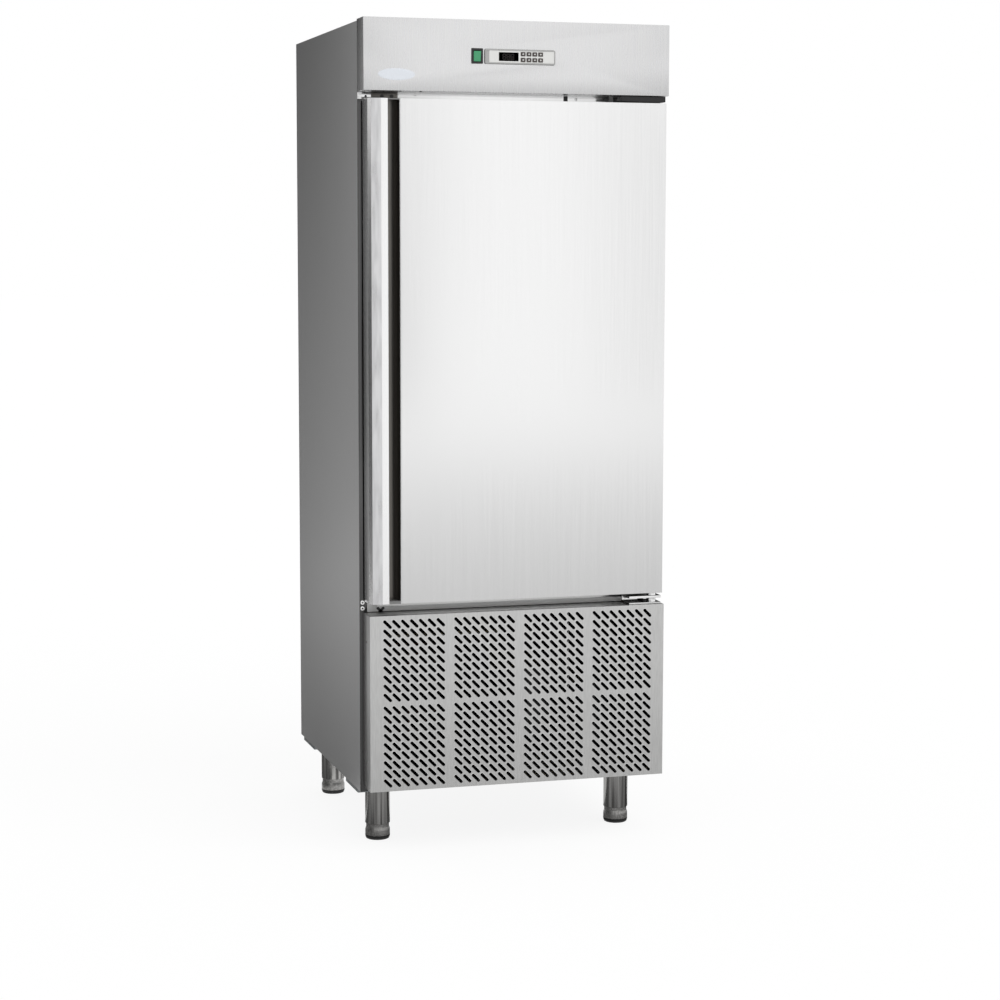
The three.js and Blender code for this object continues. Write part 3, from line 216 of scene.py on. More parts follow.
def zinc_sheet():
    material, tree, shader = new_material("galvanised_steel", {"Metallic": 1.0})
    spangle = pattern(tree, "ShaderNodeTexVoronoi", (80, 80, 80), {"Scale": 1.0})
    grey = add_node(tree, "ShaderNodeSeparateColor", None, {"Color": spangle.outputs["Color"]})
    tinted(tree, shader, grey.outputs["Red"], "#8E9294", "#AEB3B5")
    tree.links.new(spread(tree, grey.outputs["Green"], 0.38, 0.52), shader.inputs["Roughness"])
    return material


galvanised = zinc_sheet()
fin_foil = sheet_metal("rolled_aluminium_foil", "#A4A8AA", "#B2B6B8", 0.36, 3.0, 30, 0.02)
# Near black: painted shade on the condenser fins inside the machine compartment.
condenser_fins_painted_shade = sheet_metal("aluminium_foil_painted_shade", "#1C1D1E", "#262728", 0.7, 3.0, 30, 0.02)
copper = sheet_metal("dull_copper_tube", "#A9694A", "#BE7C5A", 0.34, 6.0, 40, 0.02)

# %% [markdown]
# ## Plastics, rubber, foam and paint
# Moulded plastic has a fine spark-eroded grain, so its gloss breaks up. Rubber is nearly matt. Rigid foam is
# pale yellow and full of small cells. Enamel on the compressor has the slight orange peel of a sprayed coat.

# %% Moulded and painted finishes


def moulded(name, dark, light, roughness, grain, depth, settings=None):
    """Plastic, rubber or paint with a grain of the given size and depth in millimetres."""
    material, tree, shader = new_material(name, settings)
    speckle = pattern(
        tree, "ShaderNodeTexNoise", (1 / (grain * MM),) * 3, {"Scale": 1.0, "Detail": 2.0},
    )
    tinted(tree, shader, speckle.outputs["Fac"], dark, light)
    rough = spread(tree, speckle.outputs["Fac"], roughness - 0.05, roughness + 0.05)
    tree.links.new(rough, shader.inputs["Roughness"])
    bumped(tree, shader, speckle.outputs["Fac"], depth, 0.4)
    return material


black_nylon = moulded("moulded_black_nylon", "#141415", "#1E1E20", 0.42, 0.8, 0.02, {"IOR": 1.53})
hinge_black = moulded("black_coated_steel", "#0D0D0E", "#171718", 0.34, 1.2, 0.02, {"IOR": 1.5})
pale_abs = moulded("pale_extruded_abs", "#C9C9C8", "#D2D2D1", 0.42, 1.5, 0.02, {"IOR": 1.54})
end_cap_abs = moulded("grey_end_cap_abs", "#6A6A69", "#747473", 0.45, 1.0, 0.02, {"IOR": 1.54})
silver_abs = moulded("silver_grey_abs", "#9E9E9D", "#A8A8A7", 0.30, 0.9, 0.015, {"IOR": 1.54})
key_foil = moulded("printed_polyester_foil", "#D2D2D0", "#DADAD8", 0.36, 0.9, 0.01, {"IOR": 1.57})
key_dark = moulded("dark_key_rubber", "#3A3432", "#47403D", 0.5, 0.8, 0.02, {"IOR": 1.5})
smoked_window = moulded("smoked_polycarbonate", "#1D1718", "#262021", 0.12, 4.0, 0.004, {"IOR": 1.585})
segment_grey = moulded("unlit_display_segment", "#352E2E", "#3B3434", 0.4, 1.0, 0.004, {"IOR": 1.5})
green_rocker = moulded("green_polycarbonate", "#2F8A5C", "#3C9A6A", 0.22, 3.0, 0.008, {"IOR": 1.585})
badge_plastic = moulded("blank_badge_plastic", "#D3D7DD", "#DADEE4", 0.25, 2.0, 0.006, {"IOR": 1.5})
gasket_vinyl = moulded("grey_gasket_vinyl", "#4A4B4D", "#58595B", 0.6, 1.5, 0.03, {"IOR": 1.5})
sole_rubber = moulded("black_sole_rubber", "#161616", "#222222", 0.7, 1.2, 0.04, {"IOR": 1.5})
cabinet_foam = moulded("rigid_polyurethane_foam", "#C9B169", "#DCC785", 0.9, 1.6, 0.25, {"IOR": 1.4})
black_enamel = moulded("sprayed_black_enamel", "#17181A", "#202225", 0.3, 2.5, 0.03, {"IOR": 1.5})
print("finishes:", len(bpy.data.materials))

# %% [markdown]
# ## Making and placing pieces
# A piece is a mesh whose object sits at the origin. It rides on a body of the model, takes a finish, and may stand
# in for one of the model's nodes.

# %% Piece helpers
NODE_BODY = {
    node: body for body, nodes in frame["record"]["behaviour"]["bodies"].items() for node in nodes
}


def place_piece(piece, material, body, replaces=()):
    if material:
        piece.data.materials.clear()
        piece.data.materials.append(material)
    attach(piece, body)
    if replaces:
        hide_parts(*replaces)
    return piece


def object_of(name, mesh):
    piece = bpy.data.objects.new(name, mesh)
    bpy.context.scene.collection.objects.link(piece)
    return piece


def evaluated_mesh(piece):
    graph = bpy.context.evaluated_depsgraph_get()
    return bpy.data.meshes.new_from_object(piece.evaluated_get(graph))


def shade(mesh, angle=32):
    """Smooth faces that meet gently, and keep real folds sharp."""
    bm = bmesh.new()
    bm.from_mesh(mesh)
    for face in bm.faces:
        face.smooth = True
    for edge in bm.edges:
        edge.smooth = len(edge.link_faces) == 2 and edge.calc_face_angle(0) < math.radians(angle)
    bm.to_mesh(mesh)
    bm.free()
    return mesh


def rounded(name, bm, radius, segments=2):
    """Turn a bmesh into a piece whose sharp edges are rounded by a radius in millimetres."""
    mesh = bpy.data.meshes.new(name)
    bm.to_mesh(mesh)
    bm.free()
    piece = object_of(name, mesh)
    if radius:
        bevel = piece.modifiers.new("edges", "BEVEL")
        bevel.width = radius * MM
        bevel.segments = segments
        bevel.limit_method = "ANGLE"
        bevel.angle_limit = math.radians(38)
        mesh = evaluated_mesh(piece)
        piece.modifiers.clear()
        piece.data = mesh
    shade(piece.data)
    return piece


def copy_of(node, radius, material, name=None, segments=2):
    """A node made again from its own solid: triangles merged to flat faces, edges rounded, faces shaded."""
    bm = bmesh.new()
    bm.from_mesh(frame["nodes"][node].data)
    bmesh.ops.remove_doubles(bm, verts=bm.verts, dist=1e-6)
    bmesh.ops.dissolve_limit(bm, angle_limit=math.radians(0.5), verts=bm.verts, edges=bm.edges)
    piece = rounded(name or f"{node}_finished", bm, radius, segments)
    return place_piece(piece, material, NODE_BODY[node], [node])


# %% [markdown]
# ## Folded sheet and mouldings that follow their solids
# Many pieces already have the right shape and only miss their bend radii. A press brake leaves an outer radius of
# about 1.5 mm on 1 mm sheet, and that thin line catches the light along every fold.

# %% Folded and moulded pieces
FOLDED = {
    "side_panel_left": (0.45, side_stainless), "side_panel_right": (0.45, side_stainless),
    "back_panel": (0.0, mill_stainless), "top_panel": (0.4, mill_stainless),
    "grille_surround": (0.4, perforated_stainless), "base_tray": (0.8, galvanised),
    "liner_walls": (0.4, liner_stainless), "liner_ceiling": (0.0, liner_stainless),
    "liner_floor": (0.0, liner_stainless), "door_inner_liner": (0.4, liner_stainless),
    "frame_stile_left": (1.5, pale_abs), "frame_stile_right": (1.5, pale_abs),
    "frame_rail_top": (1.5, pale_abs), "frame_rail_bottom": (1.5, pale_abs),
    "tray_rack_left": (0.0, mill_stainless), "tray_rack_right": (0.0, mill_stainless),
    "evaporator_cover": (0.0, liner_stainless), "condenser_shroud": (0.5, galvanised),
    "electrical_box": (1.0, galvanised), "insulation_foam": (0.0, cabinet_foam),
    "door_foam": (0.0, cabinet_foam), "hinge_bracket_top": (0.8, hinge_black),
    "hinge_bracket_bottom": (0.8, hinge_black), "evaporator_fan_motor_upper": (1.0, black_enamel),
    "evaporator_fan_motor_lower": (1.0, black_enamel), "condenser_fan_motor": (1.0, black_enamel),
    "compressor": (0.0, black_enamel), "liquid_receiver": (0.0, black_enamel),
}


def refinish(piece, material, test):
    """Give the faces that pass a test on their normal and centre another finish."""
    piece.data.materials.append(material)
    for face in piece.data.polygons:
        if test(face.normal, face.center):
            face.material_index = len(piece.data.materials) - 1


def part_faces(piece, depth):
    """Cut a piece's faces apart across its depth, so that each side can have its own finish."""
    bm = bmesh.new()
    bm.from_mesh(piece.data)
    everything = bm.verts[:] + bm.edges[:] + bm.faces[:]
    bmesh.ops.bisect_plane(bm, geom=everything, plane_co=(0, depth, 0), plane_no=(0, 1, 0))
    bm.to_mesh(piece.data)
    bm.free()
    shade(piece.data)


PANEL_INNER_X = 0.398
COVER_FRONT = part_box("rear_cover")[0].y


def in_compartment(normal, centre):
    """Faces of a side panel that look inwards, before the rear cover."""
    return normal.x * centre.x < 0 and abs(normal.x) > 0.9 and abs(centre.x) > PANEL_INNER_X and centre.y < COVER_FRONT


for node, (radius, material) in FOLDED.items():
    copy = copy_of(node, radius, material)
    if node.startswith("side_panel"):
        # The narrow front fold gets a dark, glossy colour, painted shade for the gap beside the door; only the wide
        # face is brushed.
        refinish(copy, fold_painted_shade, lambda normal, centre: normal.y < -0.9 and centre.y < 0)
        # The inside up to the rear cover is painted near black: painted shade of the closed machine compartment.
        part_faces(copy, COVER_FRONT)
        refinish(copy, compartment_painted_shade, in_compartment)
        refinish(copy, compartment_painted_shade, lambda normal, centre: normal.y < -0.9 and centre.y > 0)
    if node == "hinge_bracket_bottom":
        # The lower bracket's faces that look to the front get bright steel and all its other faces stay black: light
        # and shade painted by which way each face looks.
        refinish(copy, trim_stainless, lambda normal, centre: normal.y < -0.5)
print("folded and moulded copies:", len(FOLDED))

# %% [markdown]
# ## Fascia and door skin
# These two carry most of the light in the photograph. Both are single sheets with wide, clean faces, so their
# folds get a larger radius and more steps.

# %% Fascia and door skin
copy_of("control_fascia", 0.45, fascia_stainless, segments=3)
copy_of("door_outer_skin", 0.45, door_stainless_painted_light, segments=3)

# %% [markdown]
# ## The grip channel
# The door's left edge is a folded strip with a rolled lip, and fingers reach behind the lip into a round scoop. In
# plan it is one line of sheet, so the piece is that line, given its thickness and carried up the whole door. Two
# caps close it, and the arcs at the lip and at the scoop's far edge carry the bright lines of the photograph.

# %% Grip channel
DOOR_BODY_DEPTH = 62
GRIP_SHEET = 1.2
GRIP_WIDTH = 81
BEVEL_DEPTH = 11
BEVEL_WIDTH = 7
STRIP_SLOPE = 2.5
CREASE = 32
LIP_EDGE = 50
LIP_THICKNESS = 6
SCOOP_START = 41
SCOOP_DEPTH = 32
SCOOP_EDGE = 2
BOTTOM_CAP = 7
TOP_CAP = 3
CAP_INSET = 0.1


def arc(centre, radius, start, end, steps):
    angles = [math.radians(start + (end - start) * i / steps) for i in range(steps + 1)]
    return [(centre[0] + radius[0] * math.cos(a), centre[1] + radius[1] * math.sin(a)) for a in angles]


def grip_line():
    middle = (SCOOP_START + GRIP_WIDTH - SCOOP_EDGE) / 2
    half = middle - SCOOP_START
    lip = arc((LIP_EDGE - 2, 2), (2, 2), 270, 360, 5) + arc((LIP_EDGE - 2, LIP_THICKNESS - 2), (2, 2), 0, 90, 5)
    scoop = arc((middle, LIP_THICKNESS), (half, SCOOP_DEPTH - LIP_THICKNESS), 180, 0, 28)
    far_edge = arc((GRIP_WIDTH, SCOOP_EDGE), (SCOOP_EDGE, SCOOP_EDGE), 180, 270, 5)
    return [(0, DOOR_BODY_DEPTH), (0, BEVEL_DEPTH), (BEVEL_WIDTH, STRIP_SLOPE), (CREASE, 0)] + lip + scoop + far_edge


def offset_line(points, distance):
    """The line at a distance on the left-hand side of a run of points."""
    result = []
    for i, point in enumerate(points):
        here = Vector(point)
        before = (here - Vector(points[i - 1])).normalized() if i else None
        after = (Vector(points[i + 1]) - here).normalized() if i + 1 < len(points) else None
        before, after = before or after, after or before
        normal = Vector((-before.y - after.y, before.x + after.x)).normalized()
        stretch = min(distance / max(normal.dot(Vector((-before.y, before.x))), 0.5), distance * 1.5)
        result.append(here + normal * stretch)
    return result


def prism(bm, outline, low, high):
    """Raise a closed plan outline from low to high, all in metres."""
    bottom = [bm.verts.new((x, y, low)) for x, y in outline]
    top = [bm.verts.new((x, y, high)) for x, y in outline]
    bm.faces.new(bottom[::-1])
    bm.faces.new(top)
    for i in range(len(outline)):
        j = (i + 1) % len(outline)
        bm.faces.new((bottom[i], bottom[j], top[j], top[i]))


def grip_channel():
    low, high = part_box("door_grip")
    left, front = low.x, low.y
    line = grip_line()
    wall = line + [tuple(p) for p in reversed(offset_line(line, GRIP_SHEET))]
    # The end caps stand inside the sheet, half its thickness back, so that no two faces share a plane.
    inset = GRIP_SHEET / 2
    cap = [
        (inset, DOOR_BODY_DEPTH - inset), (inset, BEVEL_DEPTH + inset / 2),
        (BEVEL_WIDTH + inset / 2, STRIP_SLOPE + inset), (CREASE, inset), (GRIP_WIDTH - inset, inset),
        (GRIP_WIDTH - inset, DOOR_BODY_DEPTH - inset),
    ]
    bm = bmesh.new()

    def plan(points):
        return [(left + x * MM, front + y * MM) for x, y in points]

    prism(bm, plan(wall), low.z, high.z)
    bmesh.ops.recalc_face_normals(bm, faces=bm.faces)
    piece = rounded("grip_channel", bm, 0)
    place_piece(piece, door_stainless_painted_light, "door", ["door_grip"])

    def in_scoop(normal, centre):
        x, y = (centre.x - left) / MM, (centre.y - front) / MM
        return SCOOP_START - 1 < x < GRIP_WIDTH - 0.2 and y > LIP_THICKNESS - 1.5 and abs(normal.z) < 0.5

    def on_sloping_strip(normal, centre):
        x, y = (centre.x - left) / MM, (centre.y - front) / MM
        return BEVEL_WIDTH < x < CREASE and y < STRIP_SLOPE and normal.y < -0.9

    # The scoop gets a darker colour, painted shade for its depth, and the strip that slopes towards the edge a greyer
    # one, painted shade for its slope.
    refinish(piece, recess_painted_shade, in_scoop)
    refinish(piece, sloping_strip_painted_shade, on_sloping_strip)
    bm = bmesh.new()
    prism(bm, plan(cap), low.z + CAP_INSET * MM, low.z + BOTTOM_CAP * MM)
    prism(bm, plan(cap), high.z - TOP_CAP * MM, high.z - CAP_INSET * MM)
    bmesh.ops.recalc_face_normals(bm, faces=bm.faces)
    place_piece(rounded("grip_end_caps", bm, 0), end_cap_abs, "door")
    return piece


print("grip channel:", len(grip_channel().data.polygons), "faces")

# %% [markdown]
# ## The slotted service panel
# Five hundred and four slots at 45 degrees let the condenser breathe. They are punched in blocks of seven by nine, with
# a plain band one pitch wide between blocks. A grid of points with every eighth column left out gives the places, a
# rounded slot outline is set on each, and one fill cuts them all from the panel's outline.

# %% Geometry tree helpers


def new_tree(name, inputs):
    """A geometry tree with named inputs; returns the tree and the node that holds its inputs."""
    tree = bpy.data.node_groups.new(name, "GeometryNodeTree")
    tree.interface.new_socket("Geometry", in_out="INPUT", socket_type="NodeSocketGeometry")
    tree.interface.new_socket("Geometry", in_out="OUTPUT", socket_type="NodeSocketGeometry")
    for label, kind in inputs.items():
        tree.interface.new_socket(label, in_out="INPUT", socket_type=f"NodeSocket{kind}")
    return tree, tree.nodes.new("NodeGroupInput")


def sums(tree, operation, first, second):
    """One step of arithmetic on numbers; each side is a value or another step."""
    node = add_node(tree, "ShaderNodeMath", {"operation": operation})
    for index, side in enumerate((first, second)):
        if isinstance(side, (int, float)):
            node.inputs[index].default_value = side
        else:
            tree.links.new(side, node.inputs[index])
    return node.outputs[0]


def vector_of(tree, x=0.0, y=0.0, z=0.0):
    node = add_node(tree, "ShaderNodeCombineXYZ")
    for index, side in enumerate((x, y, z)):
        if isinstance(side, (int, float)):
            node.inputs[index].default_value = side
        else:
            tree.links.new(side, node.inputs[index])
    return node.outputs[0]


def end_tree(tree, geometry, material_socket):
    """Realize what the tree made, give it its material and hand it out."""
    real = add_node(tree, "GeometryNodeRealizeInstances", None, {"Geometry": geometry})
    dressed = add_node(
        tree, "GeometryNodeSetMaterial", None, {"Geometry": real.outputs[0], "Material": material_socket},
    )
    add_node(tree, "NodeGroupOutput", None, {0: dressed.outputs[0]})
    return tree


def grown(name, tree, values, mesh=None):
    """Run a tree with these values and keep the mesh that it makes."""
    piece = object_of(name, mesh or bpy.data.meshes.new(name))
    rule = piece.modifiers.new("rule", "NODES")
    rule.node_group = tree
    for item in tree.interface.items_tree:
        if item.in_out == "INPUT" and item.name in values:
            rule[item.identifier] = values[item.name]
    mesh = evaluated_mesh(piece)
    piece.modifiers.clear()
    piece.data = mesh
    return piece


# %% Slotted panel
SLOT_LENGTH = 29.0
SLOT_WIDTH = 8.6
PUNCHED_EDGE = 0.4
SLOT_TILT = math.radians(-45)
COLUMN_PITCH = 23.25
ROW_PITCH = 23.5
ROW_BREAK = 33.0
BLOCK_COLUMNS = 7
BLOCK_ROWS = 9
BLOCKS_ACROSS = 4
BLOCKS_DOWN = 2


def slotted_sheet_tree():
    tree, given = new_tree("slotted_sheet", {
        "Width": "Float", "Height": "Float", "Sheet": "Float", "Slot Length": "Float", "Slot Width": "Float",
        "Tilt": "Float", "Column Pitch": "Float", "Row Pitch": "Float", "Row Break": "Float",
        "Columns": "Int", "Rows": "Int", "Block Columns": "Int", "Centre": "Vector", "Edge Radius": "Float",
        "Material": "Material", "Edge Highlight Material": "Material",
    })
    value = given.outputs
    span_x = sums(tree, "MULTIPLY", sums(tree, "SUBTRACT", value["Columns"], 1), value["Column Pitch"])
    span_y = sums(tree, "MULTIPLY", sums(tree, "SUBTRACT", value["Rows"], 1), value["Row Pitch"])
    grid = add_node(tree, "GeometryNodeMeshGrid", None, {
        "Size X": span_x, "Size Y": span_y, "Vertices X": value["Columns"], "Vertices Y": value["Rows"],
    })
    place = add_node(tree, "ShaderNodeSeparateXYZ", None, {
        0: add_node(tree, "GeometryNodeInputPosition").outputs[0],
    })
    # The plain bands: every column whose number is one past a whole block is left out.
    from_left = sums(tree, "ADD", place.outputs["X"], sums(tree, "DIVIDE", span_x, 2.0))
    number = sums(tree, "ROUND", sums(tree, "DIVIDE", from_left, value["Column Pitch"]), 0.0)
    period = sums(tree, "ADD", value["Block Columns"], 1)
    band = sums(tree, "COMPARE", sums(tree, "MODULO", number, period), value["Block Columns"])
    kept = add_node(tree, "GeometryNodeDeleteGeometry", {"domain": "POINT"}, {
        "Geometry": grid.outputs["Mesh"], "Selection": band,
    })
    # The wider gap half-way down moves each half outwards by half of the extra pitch.
    extra = sums(tree, "DIVIDE", sums(tree, "SUBTRACT", value["Row Break"], value["Row Pitch"]), 2.0)
    shift = sums(tree, "MULTIPLY", sums(tree, "SIGN", place.outputs["Y"], 0.0), extra)
    spaced = add_node(tree, "GeometryNodeSetPosition", None, {
        "Geometry": kept.outputs[0], "Offset": vector_of(tree, y=shift),
    })
    outline = add_node(tree, "GeometryNodeCurvePrimitiveQuadrilateral", None, {
        "Width": value["Slot Length"], "Height": value["Slot Width"],
    })
    slot = add_node(tree, "GeometryNodeFilletCurve", {"mode": "POLY", "Count": 4}, {
        "Curve": outline.outputs[0], "Radius": sums(tree, "MULTIPLY", value["Slot Width"], 0.499),
    })
    slots = add_node(tree, "GeometryNodeInstanceOnPoints", None, {
        "Points": spaced.outputs[0], "Instance": slot.outputs[0], "Rotation": vector_of(tree, z=value["Tilt"]),
    })
    slots = add_node(tree, "GeometryNodeRealizeInstances", None, {"Geometry": slots.outputs[0]})
    edge = add_node(tree, "GeometryNodeCurvePrimitiveQuadrilateral", None, {
        "Width": value["Width"], "Height": value["Height"],
    })
    outlines = add_node(tree, "GeometryNodeJoinGeometry")
    tree.links.new(slots.outputs[0], outlines.inputs[0])
    tree.links.new(edge.outputs[0], outlines.inputs[0])
    face = add_node(tree, "GeometryNodeFillCurve", {"mode": "TRIANGLES"}, {"Curve": outlines.outputs[0]})
    front = add_node(tree, "GeometryNodeExtrudeMesh", {"mode": "FACES", "Individual": False}, {
        "Mesh": face.outputs[0], "Offset Scale": value["Sheet"],
    })
    back = add_node(tree, "GeometryNodeFlipFaces", None, {"Mesh": face.outputs[0]})
    both = add_node(tree, "GeometryNodeJoinGeometry")
    tree.links.new(front.outputs[0], both.inputs[0])
    tree.links.new(back.outputs[0], both.inputs[0])
    closed = add_node(tree, "GeometryNodeMergeByDistance", {"Distance": 0.00001}, {"Geometry": both.outputs[0]})
    sheet = add_node(tree, "GeometryNodeSetMaterial", None, {
        "Geometry": closed.outputs[0], "Material": value["Material"],
    })
    # The punch leaves a rolled edge round each slot; it gets a brighter, glossier steel than the sheet, a painted
    # highlight on a real edge.
    round_wire = add_node(tree, "GeometryNodeCurvePrimitiveCircle", {"Resolution": 3}, {"Radius": value["Edge Radius"]})
    edges = add_node(tree, "GeometryNodeCurveToMesh", None, {
        "Curve": slots.outputs[0], "Profile Curve": round_wire.outputs[0],
    })
    lifted = add_node(tree, "GeometryNodeTransform", None, {
        "Geometry": edges.outputs[0], "Translation": vector_of(tree, z=value["Sheet"]),
    })
    bright = add_node(tree, "GeometryNodeSetMaterial", None, {
        "Geometry": lifted.outputs[0], "Material": value["Edge Highlight Material"],
    })
    whole = add_node(tree, "GeometryNodeJoinGeometry")
    tree.links.new(bright.outputs[0], whole.inputs[0])
    tree.links.new(sheet.outputs[0], whole.inputs[0])
    stood = add_node(tree, "GeometryNodeTransform", {"Rotation": (math.pi / 2, 0, 0)}, {
        "Geometry": whole.outputs[0], "Translation": value["Centre"],
    })
    real = add_node(tree, "GeometryNodeRealizeInstances", None, {"Geometry": stood.outputs[0]})
    add_node(tree, "NodeGroupOutput", None, {0: real.outputs[0]})
    return tree


def service_panel():
    low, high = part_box("grille_panel")
    size = high - low
    columns = BLOCKS_ACROSS * (BLOCK_COLUMNS + 1) - 1
    rows = BLOCKS_DOWN * BLOCK_ROWS
    piece = grown("service_panel", slotted_sheet_tree(), {
        "Width": size.x, "Height": size.z, "Sheet": size.y, "Slot Length": SLOT_LENGTH * MM,
        "Slot Width": SLOT_WIDTH * MM, "Tilt": SLOT_TILT, "Column Pitch": COLUMN_PITCH * MM,
        "Row Pitch": ROW_PITCH * MM, "Row Break": ROW_BREAK * MM, "Columns": columns, "Rows": rows,
        "Block Columns": BLOCK_COLUMNS, "Centre": ((low.x + high.x) / 2, high.y, (low.z + high.z) / 2),
        "Edge Radius": PUNCHED_EDGE * MM, "Material": perforated_stainless, "Edge Highlight Material": trim_stainless,
    })
    shade(piece.data)
    return place_piece(piece, None, "cabinet", ["grille_panel"])


print("service panel:", len(service_panel().data.polygons), "faces")

# %% [markdown]
# ## Legs and feet
# Each leg is a polished tube of about 65 mm with a flange screwed under the base. The foot screws in and out of
# it: a turned cup with a waist under the tube, a slight flare and a black rubber sole. All of them are turned shapes,
# so one function spins a profile about the leg's axis.

# %% Turned pieces


def turned(bm, profile, axis, steps=64):
    """Spin a profile of (radius, height) in millimetres about a vertical axis; both ends lie on the axis."""
    rings = []
    for radius, height in profile:
        centre = Vector((axis.x, axis.y, axis.z + height * MM))
        if radius == 0:
            rings.append([bm.verts.new(centre)] * steps)
            continue
        rings.append([
            bm.verts.new(centre + Vector((
                math.cos(math.tau * i / steps), math.sin(math.tau * i / steps), 0,
            )) * radius * MM) for i in range(steps)
        ])
    for lower, upper in zip(rings, rings[1:]):
        for i in range(steps):
            j = (i + 1) % steps
            corners = []
            for vertex in (lower[i], lower[j], upper[j], upper[i]):
                if vertex not in corners:
                    corners.append(vertex)
            bm.faces.new(corners)


def turned_piece(name, profile, axis, steps=64):
    bm = bmesh.new()
    turned(bm, profile, axis, steps)
    bmesh.ops.recalc_face_normals(bm, faces=bm.faces)
    return rounded(name, bm, 0)


# %% Legs and feet
LEG_RADIUS = 32.5
LEG_BORE = 31.0
LEG_LOWER_END = 42.0
FLANGE_THICKNESS = 4.0
FOOT_WAIST = 30.0
FOOT_BASE = 32.3
SOLE_HEIGHT = 11.0


def leg(corner):
    low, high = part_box(f"leg_{corner}")
    axis = Vector(((low.x + high.x) / 2, (low.y + high.y) / 2, 0))
    top = high.z / MM
    under = top - FLANGE_THICKNESS
    tube = turned_piece(f"leg_tube_{corner}", [
        (0, top), (LEG_RADIUS - 4, top), (LEG_RADIUS, under), (LEG_RADIUS, LEG_LOWER_END + 0.6),
        (LEG_RADIUS - 0.6, LEG_LOWER_END), (LEG_BORE, LEG_LOWER_END), (LEG_BORE, under), (0, under),
    ], axis)
    place_piece(tube, tube_painted_streaks, "cabinet", [f"leg_{corner}"])
    bm = bmesh.new()
    half = (high.x - low.x) / 2
    prism(bm, [(axis.x + sx * half, axis.y + sy * half) for sx, sy in ((-1, -1), (1, -1), (1, 1), (-1, 1))],
          under * MM, top * MM)
    upright = [edge for edge in bm.edges if abs(edge.verts[0].co.z - edge.verts[1].co.z) > 1e-6]
    bmesh.ops.bevel(bm, geom=upright, offset=8 * MM, segments=4, profile=0.5, affect="EDGES")
    flange = rounded(f"leg_flange_{corner}", bm, 0.5)
    place_piece(flange, mill_stainless, "cabinet")


def foot(corner):
    low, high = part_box(f"foot_{corner}")
    axis = Vector(((low.x + high.x) / 2, (low.y + high.y) / 2, 0))
    top = high.z / MM
    cup = turned_piece(f"foot_cup_{corner}", [
        (0, SOLE_HEIGHT - 1), (FOOT_BASE - 1, SOLE_HEIGHT - 1), (FOOT_BASE, SOLE_HEIGHT), (FOOT_BASE, 24),
        (FOOT_BASE - 0.4, 26.5), (FOOT_WAIST + 0.4, 31), (FOOT_WAIST, 33), (FOOT_WAIST, LEG_LOWER_END + 2),
        (LEG_BORE - 0.6, LEG_LOWER_END + 4), (LEG_BORE - 0.6, top), (0, top),
    ], axis)
    place_piece(cup, foot_stainless, f"foot_{corner}", [f"foot_{corner}"])
    sole = turned_piece(f"foot_sole_{corner}", [
        (0, 0), (FOOT_WAIST - 2, 0), (FOOT_WAIST, 1), (FOOT_BASE - 0.5, 5), (FOOT_BASE + 0.2, 9),
        (FOOT_BASE + 0.2, SOLE_HEIGHT - 0.6), (FOOT_BASE - 1.2, SOLE_HEIGHT - 0.1), (0, SOLE_HEIGHT - 0.9),
    ], axis)
    place_piece(sole, sole_rubber, f"foot_{corner}")


for corner in ("front_left", "front_right", "rear_left", "rear_right"):
    leg(corner)
    foot(corner)
print("legs and feet made")

# %% [markdown]
# ## The controller
# A long panel controller snaps into the fascia. Its silver bezel has a rounded outline and a shallow recess, where
# a printed foil carries a smoked window and eight keys. The left end of the recess is bare and darker. Each key is a
# dark square with a small raised button in the middle.

# %% Controller


def plate(bm, centre, size, corner, steps=5):
    """A plate that faces the front, with rounded corners; centre and size in metres, corner in millimetres."""
    half_x, half_z, r = size[0] / 2, size[2] / 2, corner * MM
    outline = []
    for (cx, cz), start in (((1, -1), 270), ((1, 1), 0), ((-1, 1), 90), ((-1, -1), 180)):
        middle = (cx * (half_x - r), cz * (half_z - r))
        outline += arc(middle, (r, r), start, start + 90, steps)
    front = [bm.verts.new((centre[0] + x, centre[1] - size[1] / 2, centre[2] + z)) for x, z in outline]
    back = [bm.verts.new((centre[0] + x, centre[1] + size[1] / 2, centre[2] + z)) for x, z in outline]
    bm.faces.new(front)
    bm.faces.new(back[::-1])
    for i in range(len(outline)):
        j = (i + 1) % len(outline)
        bm.faces.new((front[j], front[i], back[i], back[j]))


def plate_piece(name, centre, size, corner, edge):
    bm = bmesh.new()
    plate(bm, centre, size, corner)
    bmesh.ops.recalc_face_normals(bm, faces=bm.faces)
    return rounded(name, bm, edge)


def cut_out(piece, cutter):
    """Take the cutter's space out of the piece, and delete the cutter."""
    cut = piece.modifiers.new("cut", "BOOLEAN")
    cut.operation = "DIFFERENCE"
    cut.solver = "EXACT"
    cut.object = cutter
    mesh = evaluated_mesh(piece)
    piece.modifiers.clear()
    piece.data = mesh
    bpy.data.objects.remove(cutter)
    shade(piece.data)
    return piece


FASCIA_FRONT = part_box("control_fascia")[0].y
BEZEL_RIM = 3.0
RECESS = 1.2
FOIL_LEFT = 11.0
KEY_BUTTON = (4.6, 3.4)
SHADOW_LINE_LIP = 0.7
KEY_PLAY = 0.25
KEY_COUNT = 8


def key_holes():
    """A cutter with one block for each key, a little larger than the key, that goes through bezel and foil."""
    bm = bmesh.new()
    for number in range(1, KEY_COUNT + 1):
        low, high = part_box(f"key_{number}")
        middle = (low + high) / 2
        plate(
            bm, (middle.x, low.y + 4 * MM, middle.z),
            (high.x - low.x + 2 * KEY_PLAY * MM, 12 * MM, high.z - low.z + 2 * KEY_PLAY * MM), 1.7,
        )
    bmesh.ops.recalc_face_normals(bm, faces=bm.faces)
    return rounded("key_holes_cutter", bm, 0)


